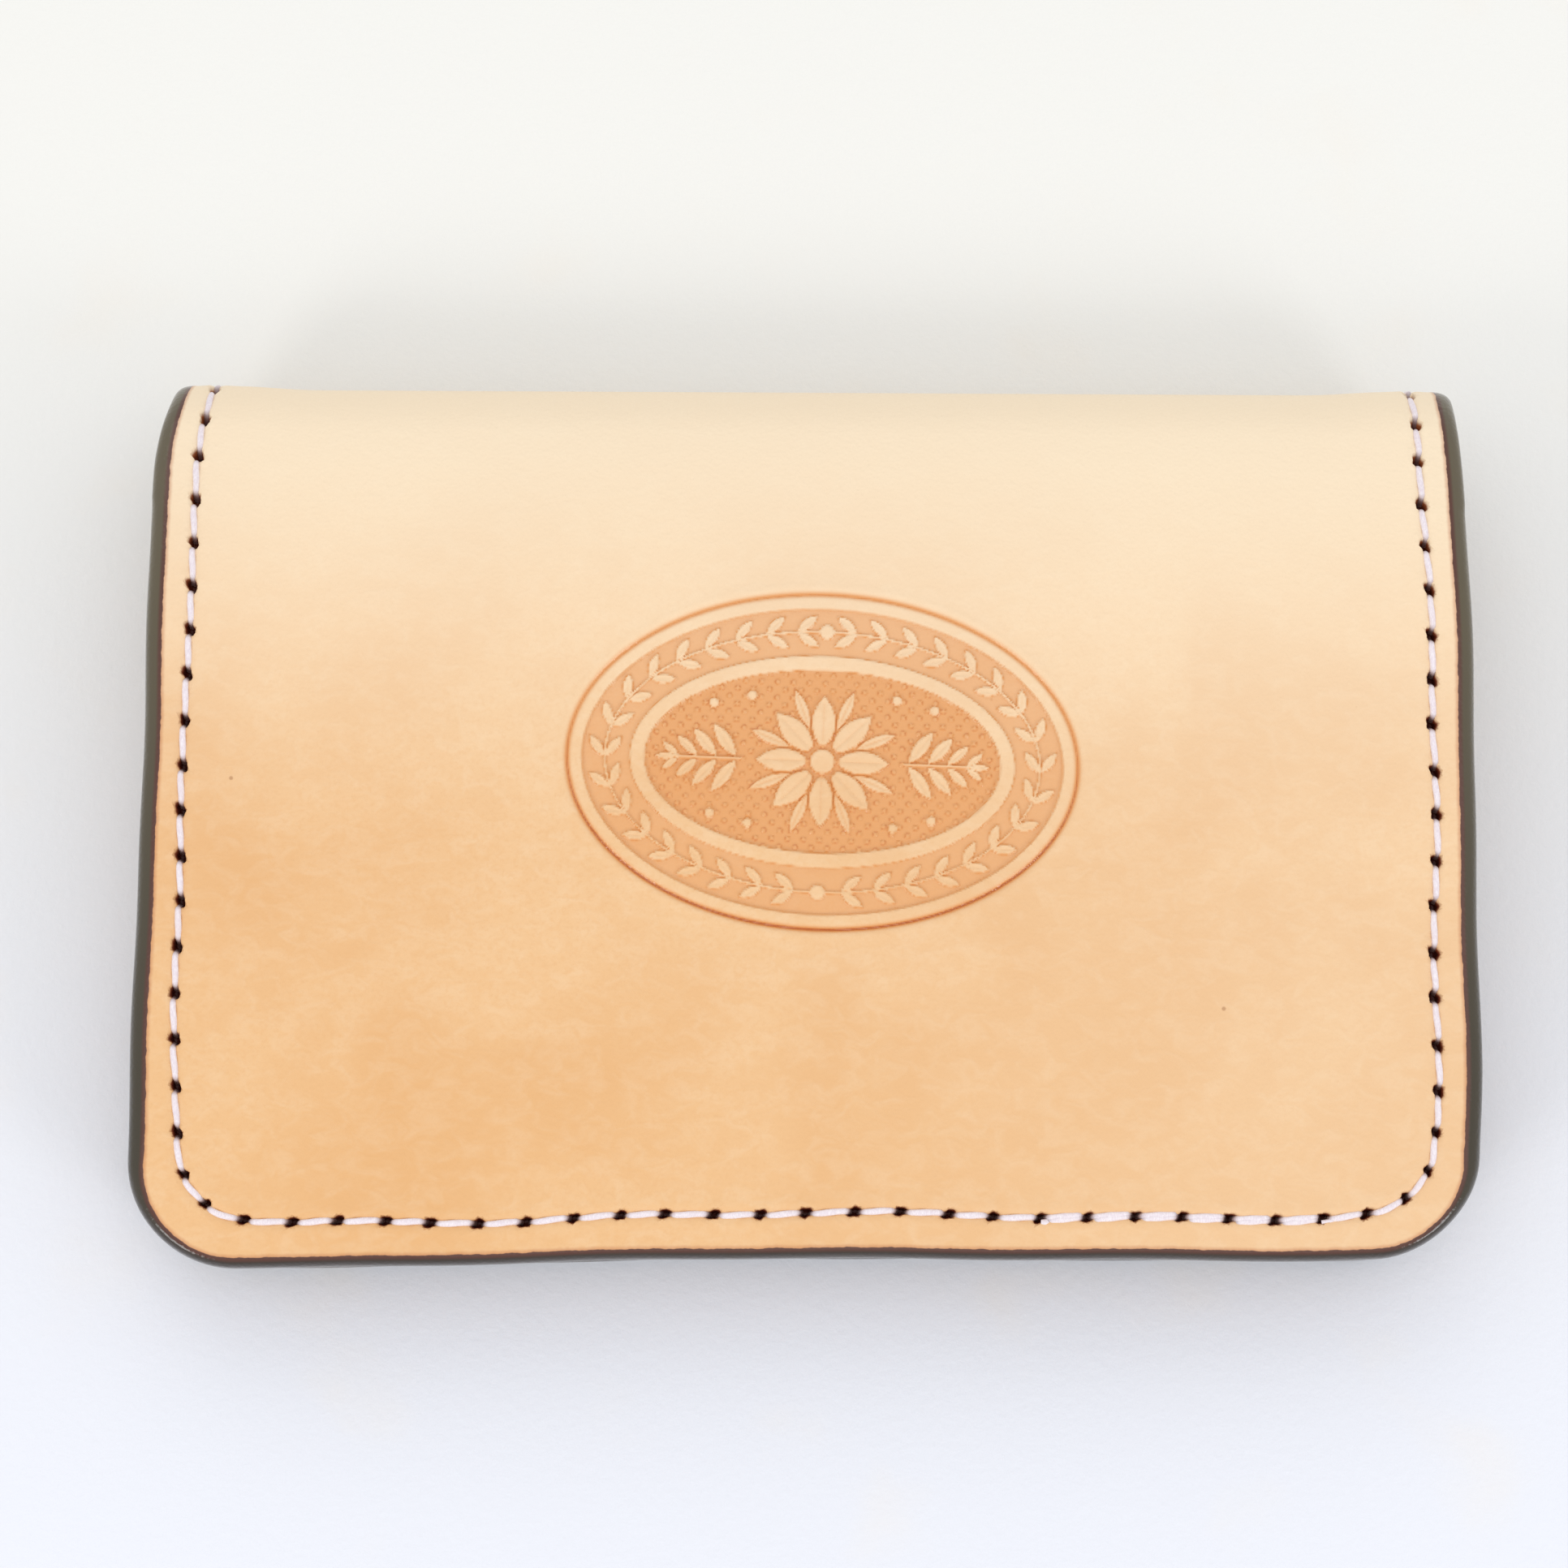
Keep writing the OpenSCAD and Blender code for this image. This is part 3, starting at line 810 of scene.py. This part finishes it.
def tubes(name, seam, spans, level, outward, seat):
    """Stitches of twisted thread that lie as deep as seat in the surface level. A span is (start,
    end, dives at its start, dives at its end, how far in its start and its end lie, radius)."""
    stations, sides = 27, 12
    points, faces, hole_shades = [], [], []
    share = np.linspace(0, 1, stations)
    for start, end, dive_start, dive_end, v_start, v_end, radius in spans:
        begin, stop = start + TRIM[0] * dive_start, end - TRIM[1] * dive_end
        length = stop - begin
        eased = 0.5 - 0.5 * np.cos(share * math.pi) if dive_start and dive_end else share
        t = begin + length * (0.6 * eased + 0.4 * share)
        v = v_start + (v_end - v_start) * (t - begin) / length
        gap = np.minimum(np.where(dive_start, t - begin, 9), np.where(dive_end, stop - t, 9))
        dive = (1 - smooth(gap / DIVE_LENGTH)) ** 1.5
        depth = seat + DIVE_DEPTH * dive - 0.05 * np.sin(math.pi * (t - begin) / length)
        plan, beside = seam.at(t, v), seam.at(t, v + 0.05)
        n = level(plan[:, 0], plan[:, 1]) - outward * depth
        centre = place(plan[:, 0], plan[:, 1], n, seam.front)
        side = place(beside[:, 0], beside[:, 1], n, seam.front) - centre
        ahead = np.gradient(centre, axis=0)
        ahead /= np.linalg.norm(ahead, axis=1)[:, None]
        side -= (side * ahead).sum(1)[:, None] * ahead
        side /= np.linalg.norm(side, axis=1)[:, None]
        up = np.cross(side, ahead)
        angle = np.arange(sides) * 2 * math.pi / sides
        strand = 1 + 0.07 * np.cos(3 * angle[None] - 2 * math.pi * (t - begin)[:, None] / TWIST)
        ring = (np.cos(angle) * strand)[..., None] * side[:, None] * PRESSED[0]
        ring = ring + (np.sin(angle) * strand)[..., None] * up[:, None] * PRESSED[1]
        at = (len(points) * stations + np.arange(stations)[:, None]) * sides + np.arange(sides)[None]
        # Painted shade on the thread where it dives into a hole.
        hole_shades.append(np.repeat(1 - smooth((gap - 0.12) / 0.42), sides))
        points.append((centre[:, None] + ring * radius * MM).reshape(-1, 3))
        quad = np.stack([at[:-1], np.roll(at[:-1], -1, 1), np.roll(at[1:], -1, 1), at[1:]], -1)
        faces += quad.reshape(-1, 4).tolist()
        faces += [at[0, ::-1].tolist(), at[-1].tolist()]
    piece = build(name, np.vstack(points), faces, {"hole_shade": np.concatenate(hole_shades)}, sharp=80)
    return face_out(piece)


def face_out(piece):
    """Turns every closed shell's faces outward."""
    mesh = bmesh.new()
    mesh.from_mesh(piece.data)
    bmesh.ops.recalc_face_normals(mesh, faces=mesh.faces)
    mesh.to_mesh(piece.data)
    mesh.free()
    return piece


def stitch_spans(seam, fold):
    """Spans of the stitches near the fold, or of all the others. The stitches of the backstitched
    stretch of the free edge are doubled."""
    marks = seam.marks
    spans = []
    for i, (a, b) in enumerate(zip(marks, marks[1:])):
        if (i < 2 or i > len(marks) - 4) != fold:
            continue
        x = seam_xy(np.array([(a + b) / 2]), np.zeros(1), seam.front)[0]
        if seam.front and BACKSTITCH[0] < x[0] < BACKSTITCH[1] and x[1] < CORNER_R:
            if x[0] < BACKSTITCH[0] + PITCH:
                spans.append((a + 0.05, a + 0.5, False, False, -0.46, -0.40, THREAD_R))
            if x[0] > BACKSTITCH[1] - PITCH:
                spans.append((b - 0.1, b + 1.1, False, False, -0.3, -0.2, 0.6 * THREAD_R))
            spans.append((a, b, True, True, -0.30, -0.02, THREAD_R))
            spans.append((a - 0.1, b + 0.05, True, True, -0.02, 0.2, THREAD_R))
        else:
            spans.append((a, b, True, True, *SLANT, THREAD_R))
    if fold:
        spans.append((0, marks[0], False, True, -0.02, SLANT[1], THREAD_R))
        spans.append((marks[-1], SEAM_LEN, True, False, SLANT[0], -0.02, THREAD_R))
    return spans


# ---------------------------------------------------------------- materials


def rgb(red, green, blue):
    """Linear colour of an 8-bit sRGB one whose values are over 10."""
    return *(((c / 255 + 0.055) / 1.055) ** 2.4 for c in (red, green, blue)), 1


class Shader:
    """A material with short ways to add nodes. Lengths are in millimetres."""

    def __init__(self, name):
        self.material = bpy.data.materials.new(name)
        self.material.use_nodes = True
        self.nodes = self.material.node_tree.nodes
        self.bsdf = self.nodes["Principled BSDF"]

    def link(self, value, socket):
        """Joins a node's output to the socket, or sets the socket to a plain value."""
        if isinstance(value, bpy.types.NodeSocket):
            self.material.node_tree.links.new(value, socket)
        else:
            socket.default_value = value

    def add(self, kind, output=0, inputs=None, **settings):
        """Output of a new node of that kind."""
        node = self.nodes.new(kind)
        for key, value in settings.items():
            setattr(node, key, value)
        for key, value in (inputs or {}).items():
            self.link(value, node.inputs[key])
        return node.outputs[output]

    def attribute(self, name):
        """A mask of the mesh."""
        return self.add("ShaderNodeAttribute", "Fac", attribute_name=name)

    def math(self, operation, a, b=0.0, c=0.0, clamp=False):
        """Result of arithmetic with up to three values."""
        inputs = {0: a, 1: b, 2: c}
        return self.add("ShaderNodeMath", inputs=inputs, operation=operation, use_clamp=clamp)

    def step(self, value, begin, end):
        """Smooth step of a value from 0 at begin to 1 at end."""
        return self.add("ShaderNodeMapRange", inputs={"Value": value, "From Min": begin, "From Max": end},
                        interpolation_type="SMOOTHSTEP")

    def mix(self, share, a, b):
        """Colour a, and b where the share is 1."""
        node = self.nodes.new("ShaderNodeMix")
        node.data_type = "RGBA"
        for value, socket in zip((share, a, b), (node.inputs[0], node.inputs[6], node.inputs[7])):
            self.link(value, socket)
        return node.outputs[2]

    def place(self, stretch=(1, 1, 1), turn=(0, 0, 0)):
        """Object coordinates in metres, turned and stretched."""
        where = self.add("ShaderNodeTexCoord", "Object")
        return self.add("ShaderNodeMapping", inputs={"Vector": where, "Scale": stretch, "Rotation": turn})

    def noise(self, size_mm, detail, rough, where=None, warp=0.0):
        """Noise whose features are about that many millimetres wide."""
        vector = self.place() if where is None else where
        return self.add("ShaderNodeTexNoise", inputs={
            "Vector": vector, "Scale": 1 / (size_mm * MM), "Detail": detail, "Roughness": rough,
            "Distortion": warp})

    def cells(self, size_mm, where=None):
        """Distance from the nearest of the middles of cells of about that width."""
        vector = self.place() if where is None else where
        return self.add("ShaderNodeTexVoronoi", "Distance",
                        inputs={"Vector": vector, "Scale": 1 / (size_mm * MM)})

    def bump(self, height, depth_mm, normal=None):
        """Normal of a relief that deep, laid over another normal."""
        inputs = {"Height": height, "Distance": depth_mm * MM}
        if normal is not None:
            inputs["Normal"] = normal
        return self.add("ShaderNodeBump", inputs=inputs)

    def tint(self, colour, mask, tone, share):
        """The colour, turned towards a tone by that share of the mask."""
        return self.mix(self.math("MULTIPLY", mask, share), colour, tone)

    def finish(self, **inputs):
        """The material, with those inputs of its shader set or linked."""
        for key, value in inputs.items():
            self.link(value, self.bsdf.inputs[key.replace("_", " ")])
        return self.material


def leather(name, pale, deep, pale_and_highlight_tone, rough, grain_mm, fibre=0.0):
    """Natural leather: mottled tan, fine grain, dark burnished edges with painted reflection, and stitch
    holes painted dark brown as their shade. It grows paler towards the fold: a painted highlight of the
    light from behind, partly leather stretched paler there. The masks rim, hole, floor and reach are the
    sheet's own attributes."""
    m = Shader(name)
    rim, hole, floor, reach = (m.attribute(key) for key in ("rim", "hole", "floor", "reach"))
    cloud = m.noise(19, 2, 0.5, warp=0.5)
    streak = m.noise(2.2, 2, 0.6, where=m.place((1, 1.5, 1), (0, 0, math.radians(27))), warp=0.8)
    fleck = m.noise(0.42, 2, 0.6)
    colour = m.mix(m.step(cloud, 0.32, 0.70), pale, deep)
    # Deeper tan towards the free edge.
    colour = m.tint(colour, m.step(reach, 0.5, 0.05), rgb(226, 172, 110), 0.35)
    colour = m.tint(colour, m.step(streak, 0.35, 0.75), pale_and_highlight_tone, 0.13)
    colour = m.tint(colour, m.step(fleck, 0.44, 0.72), deep, 0.36)
    # Paler towards the right side.
    x = m.add("ShaderNodeSeparateXYZ", "X", inputs={0: m.place()})
    colour = m.tint(colour, m.step(x, -0.02, 0.05), pale_and_highlight_tone, 0.24)
    # Painted highlight: paler towards the fold, where the light from behind falls, partly leather stretched
    # paler there.
    colour = m.tint(colour, m.step(reach, 0.42, 0.98), pale_and_highlight_tone, 0.9)
    speck = m.cells(7.5, where=m.place((1, 1, 0)))
    colour = m.tint(colour, m.step(speck, 0.030, 0.012), rgb(148, 92, 52), 0.5)
    # Darker orange pressed ground of the stamp, with painted shade on its slopes and round its ornament. It
    # is darkest in the outer line, partly painted shade in that groove.
    colour = m.mix(m.math("MULTIPLY", floor, 0.88, clamp=True), colour, rgb(222, 154, 90))
    colour = m.tint(colour, m.step(floor, 1.0, 1.7), rgb(188, 98, 52), 0.8)
    ragged = m.math("MULTIPLY_ADD", m.noise(0.9, 2, 0.6), 0.24, -0.12)
    edge = m.math("ADD", rim, ragged)
    flush = m.math("SUBTRACT", 1.0, m.step(edge, 0.06, 0.42))
    colour = m.tint(colour, flush, rgb(182, 104, 60), 0.5)
    # Painted shade in the stitch holes: brown, darkest in their middle. Near the fold the holes are painted
    # lighter, with the painted highlight there.
    lit_near_fold = m.step(reach, 0.62, 0.95)
    colour = m.mix(m.step(hole, 0.06, 0.38), colour, m.mix(lit_near_fold, rgb(140, 68, 42), rgb(176, 104, 60)))
    colour = m.mix(m.step(hole, 0.34, 0.8), colour, m.mix(lit_near_fold, rgb(82, 29, 21), rgb(134, 64, 36)))
    dyed = m.math("SUBTRACT", 1.0, m.step(edge, 0.02, 0.10))
    bottom = m.step(reach, 0.085, 0.02)
    # Dark edge dye with a painted reflection of the bright surroundings that grows lighter towards the
    # fold. It is darker brown along the free edge, with a reddish line at its border.
    dye_and_glare = m.mix(m.step(reach, 0.1, 0.9), rgb(54, 47, 31), rgb(92, 82, 60))
    dye_and_glare = m.tint(dye_and_glare, bottom, rgb(40, 27, 20), 0.75)
    dye_and_glare = m.mix(m.step(rim, -0.42, -0.08), dye_and_glare, rgb(84, 42, 29))
    dye_and_glare = m.tint(dye_and_glare, m.noise(1.6, 2, 0.6), rgb(70, 60, 46), 0.2)
    colour = m.mix(dyed, colour, dye_and_glare)

    height = m.math("ADD", m.math("MULTIPLY", m.cells(grain_mm), 0.8), m.noise(grain_mm * 1.6, 2, 0.6))
    normal = m.bump(height, 0.026 + 0.03 * fibre)
    normal = m.bump(streak, 0.035, normal)
    grip = m.math("MULTIPLY_ADD", fleck, 0.12, rough - 0.06)
    worked = m.math("SUBTRACT", grip, m.math("MULTIPLY", floor, 0.16))
    shine = m.add("ShaderNodeMix", inputs={0: dyed, 2: worked, 3: 0.2})
    gloss = m.math("MAXIMUM", m.math("MULTIPLY", dyed, 0.45), m.math("MULTIPLY", floor, 0.25))
    return m.finish(Base_Color=colour, Roughness=shine, Normal=normal, Coat_Weight=gloss,
                    Coat_Roughness=0.12, Specular_IOR_Level=0.36)


def thread_material():
    """Waxed white polyester thread with a faint lilac tint and fine filaments, painted brown with shade
    where it dives into a hole.
    """
    m = Shader("waxed_white_thread")
    wisp = m.noise(0.10, 3, 0.6, where=m.place((1, 0.35, 1)))
    colour = m.mix(m.step(wisp, 0.3, 0.75), rgb(226, 212, 219), rgb(242, 234, 237))
    soiled = m.math("MULTIPLY", m.step(m.noise(4, 2, 0.5), 0.5, 0.8), 0.35)
    colour = m.mix(soiled, colour, rgb(232, 214, 212))
    # Painted shade: brown where the thread dives into a hole.
    colour = m.tint(colour, m.attribute("hole_shade"), rgb(92, 46, 32), 0.92)
    return m.finish(Base_Color=colour, Roughness=0.42, Normal=m.bump(wisp, 0.02), Sheen_Weight=0.15,
                    Sheen_Roughness=0.4)


def paper_material():
    """Pale paper that the case lies on, with painted cool shade towards the camera and painted warm light
    behind.
    """
    m = Shader("pale_paper")
    where = m.add("ShaderNodeTexCoord", "Object")
    y = m.add("ShaderNodeSeparateXYZ", "Y", inputs={0: where})
    # Painted shade: cooler in front of the case. Painted warm light behind it.
    colour = m.mix(m.step(y, -0.05, 0.06), rgb(232, 234, 241), rgb(238, 237, 232))
    fibre = m.noise(0.8, 5, 0.65)
    warm = m.math("MULTIPLY", m.step(m.noise(14, 3, 0.5), 0.55, 0.8), 0.3)
    colour = m.mix(warm, colour, rgb(240, 232, 220))
    return m.finish(Base_Color=colour, Roughness=0.9, Normal=m.bump(fibre, 0.05))


# Each leather: its pale and deep tan, and a paler tone that also paints the highlight towards the fold.
COVER = leather("natural_cover_leather", rgb(233, 190, 141), rgb(226, 176, 122), rgb(246, 228, 199),
                rough=0.5, grain_mm=0.34)
POCKET = leather("natural_pocket_leather", rgb(231, 192, 148), rgb(223, 178, 130), rgb(240, 216, 184),
                 rough=0.55, grain_mm=0.30)
LINING = leather("smooth_lining_leather", rgb(221, 182, 138), rgb(208, 162, 114), rgb(228, 198, 160),
                 rough=0.62, grain_mm=0.24, fibre=0.5)
THREAD = thread_material()


# ---------------------------------------------------------------- pieces


def flat_level(n):
    """A face of the leather that stays at one height."""
    return lambda x, s: np.full(np.shape(x), float(n))


def mouth_at(front):
    """Distance from the free edge of the mouth that is nearest to the fold."""
    return FRONT_MOUTH if front else UPPER_MOUTH


def stack_total(front):
    """Thickness of the burnished stack: a pocket's margin adds to it below the mouth."""
    mouth = mouth_at(front)
    return lambda s: SHELL_T + POCKET_T * (1 - smooth((s - mouth + 0.4) / 0.8))


def sewn_level(front):
    """Inner surface on which the seam lies: the pocket's margin, and the lining beyond its mouth."""
    mouth = mouth_at(front)
    return lambda x, s: SHELL_T + POCKET_T * (1 - smooth((s - mouth + 0.1) / 0.5))


def seam_face(seam, depth, sink, stamped=False, beyond=None):
    """Relief of a face with stitch holes, and with the stamped oval if it has one."""

    def shape(x, s):
        height, hole = seam.relief(x, s, depth, sink)
        if beyond is not None:
            share = smooth((s - beyond) / 0.5)
            height, hole = height * share, hole * share
        floor = np.zeros(len(x))
        if stamped:
            more, floor = stamp_relief(x, s)
            height = height + more
        return height, hole, floor

    points = seam.points()
    if beyond is not None:
        points = points[points[:, 1] > beyond - 1]
    if stamped:
        points = np.vstack([points, stamp_points()])
    skip = under_stamp if stamped else lambda x, s: np.zeros(len(x), bool)
    return {"shape": shape, "points": points, "skip": skip}


def bed(base, lift):
    """Face of a pocket that rises smoothly from its sewn margin to its open bed."""
    return lambda x, s: base + lift * smooth((inset(x, s) - MARGIN) / RISE)


def finish_piece(piece, material, nodes, front, fold=None):
    """Gives a piece its material and hides the CAD nodes that it stands for. Without a fold it is attached
    to its half's body; otherwise its placing is baked into its mesh.
    """
    piece.data.materials.append(material)
    side = "front" if front else "back"
    if fold is None:
        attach(piece, side + "_half")
    else:
        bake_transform(piece)
    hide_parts(*nodes)


def make_half(front):
    """Cover, lining and seam threads of one half, each in a flat and a folded piece. Returns its seam."""
    side = "front" if front else "back"
    seam = Seam(front)
    outlines = half_outline(SPLIT), strip_outline(SPLIT, HALF_LEN)
    outside, between, inside = (flat_level(n) for n in (0, COVER_T, SHELL_T))
    lining_face = {"inner": seam_face(seam, *LINING_HOLES, beyond=mouth_at(front))}
    flat_face = {"outer": seam_face(seam, *COVER_HOLES, stamped=front)}
    fold_face = {"outer": seam_face(seam, *COVER_HOLES)}
    layers = (("cover", outside, between, COVER, flat_face, fold_face),
              ("lining", between, inside, LINING, lining_face, lining_face))

    def nodes(what, fold):
        """The CAD nodes that a flat or a folded piece stands for."""
        return [f"{side}_bend_{what}", f"spine_{what}"] if fold else [f"{side}_{what}"]

    for layer, low, high, material, *faces in layers:
        for fold in (False, True):
            name = f"{side}_{layer}_{'fold' if fold else 'leather'}"
            piece = sheet(name, outlines[fold], low, high, stack_total(front), front, **faces[fold])
            finish_piece(piece, material, nodes(layer, fold), front, fold)

    for place_name, level, outward, seat in (("outer", outside, -1, FRONT_SEAT if front else BACK_SEAT),
                                             ("inner", sewn_level(front), 1, INNER_SEAT)):
        for fold in (False, True):
            name = f"{side}_{place_name}_{'fold_' if fold else ''}stitches"
            piece = tubes(name, seam, stitch_spans(seam, fold), level, outward, seat)
            finish_piece(piece, THREAD, nodes(place_name + "_thread", fold), front, fold)
    return seam


def make_front_pocket(seam):
    """Pocket of the front half, with its thumb notch."""
    low = bed(SHELL_T, CARD_GAP)
    high = bed(SHELL_T + POCKET_T, CARD_GAP)
    face = seam_face(seam, *POCKET_HOLES)
    piece = sheet("front_pocket_leather", notched_outline(FRONT_MOUTH), low, high, stack_total(True),
                  True, inner=face)
    finish_piece(piece, POCKET, ["front_pocket_panel"], True, fold=False)


def make_back_pockets(seam):
    """The T-shaped upper slot and the lower slot in front of it."""
    face = seam_face(seam, *POCKET_HOLES)
    total = stack_total(False)

    def stem_bed(base):
        """Underside that lies on the lining at the stem's foot and rises from there to its bed."""
        def level(x, s):
            sewn = np.where(s < LOWER_MOUTH, 1, smooth((HALF_W - np.abs(x) - MARGIN) / RISE))
            return base + CARD_GAP * sewn * smooth((s - STEM_INSET - 1.6) / 4)
        return level

    upper = sheet("upper_slot_leather", tee_outline(), stem_bed(SHELL_T), stem_bed(SHELL_T + POCKET_T),
                  total, False, inner=face)
    finish_piece(upper, POCKET, ["upper_slot_panel"], False)
    stem_seam = StemSeam()
    spans = [(a, b, True, True, -0.08, 0.08, THREAD_R)
             for a, b in zip(stem_seam.marks, stem_seam.marks[1:])]
    thread = tubes("upper_slot_seam_stitches", stem_seam, spans, flat_level(SHELL_T + POCKET_T), 1,
                   STEM_SEAT)
    finish_piece(thread, THREAD, ["upper_slot_seam_thread"], False)
    lift = 2 * CARD_GAP + POCKET_T
    lower = sheet("lower_slot_leather", half_outline(LOWER_MOUTH, mouth=True), bed(SHELL_T, lift),
                  bed(SHELL_T + POCKET_T, lift), total, False, inner=face)
    finish_piece(lower, POCKET, ["lower_slot_panel"], False)


back_seam = make_half(False)
front_seam = make_half(True)
make_back_pockets(back_seam)
make_front_pocket(front_seam)


# ---------------------------------------------------------------- floor, light and camera


def make_floor():
    """Sheet of pale paper, far larger than the case."""
    mesh = bpy.data.meshes.new("paper")
    mesh.from_pydata([(-2, -2, 0), (2, -2, 0), (2, 2, 0), (-2, 2, 0)], [], [(0, 1, 2, 3)])
    mesh.materials.append(paper_material())
    add_object("paper", mesh)


def make_lamp(name, at, size, power, tint):
    """A soft square lamp that points at the case."""
    data = bpy.data.lights.new(name, "AREA")
    data.size, data.energy, data.color = size, power, tint
    lamp = add_object(name, data)
    lamp.location = at
    lamp.rotation_mode = "QUATERNION"
    lamp.rotation_quaternion = (-Vector(at)).to_track_quat("-Z", "Y")


def make_light():
    """Bright even surroundings, a soft lamp behind, one above and two small ones in front that
    glint on the edge of the corners."""
    world = bpy.data.worlds.new("studio")
    world.use_nodes = True
    world.node_tree.nodes["Background"].inputs["Color"].default_value = (0.97, 0.98, 1, 1)
    world.node_tree.nodes["Background"].inputs["Strength"].default_value = 0.86
    bpy.context.scene.world = world
    make_lamp("window_behind", (-0.15, 0.75, 0.75), 0.7, 0.9, (1, 0.97, 0.92))
    make_lamp("overhead_soft", (0.1, -0.1, 1.1), 0.9, 1.0, (1, 1, 1))
    make_lamp("left_key", (-0.45, -0.45, 0.36), 0.22, 1.0, (1, 0.99, 0.97))
    make_lamp("right_key", (0.5, -0.45, 0.36), 0.22, 1.0, (0.97, 0.98, 1))
    bpy.context.scene.view_settings.view_transform = "Standard"


# The camera: its lens, its distance from the point it looks at, its height as an angle, its roll,
# and that point's place in the front half's plan.
FOCAL_MM, SENSOR_MM = 82, 36
CAMERA_RANGE = 0.280
CAMERA_TILT = math.radians(75.0)
CAMERA_ROLL = math.radians(0.3)
AIM_S, AIM_X = 38.15, -1.9


def make_camera():
    """Camera that looks down on the front cover from beyond the free edge."""
    data = bpy.data.cameras.new("camera")
    data.lens, data.sensor_width = FOCAL_MM, SENSOR_MM
    camera = add_object("camera", data)
    aim = Vector(place(AIM_X, AIM_S, 0, True))
    back = Vector((0, -math.cos(CAMERA_TILT), math.sin(CAMERA_TILT)))
    camera.location = aim + back * CAMERA_RANGE
    camera.rotation_euler = (-back).to_track_quat("-Z", "Y").to_euler()
    camera.rotation_euler.rotate_axis("Z", CAMERA_ROLL)
    data.clip_start, data.clip_end = 0.01, 20
    bpy.context.scene.camera = camera


make_floor()
make_light()
make_camera()

bpy.context.view_layer.update()
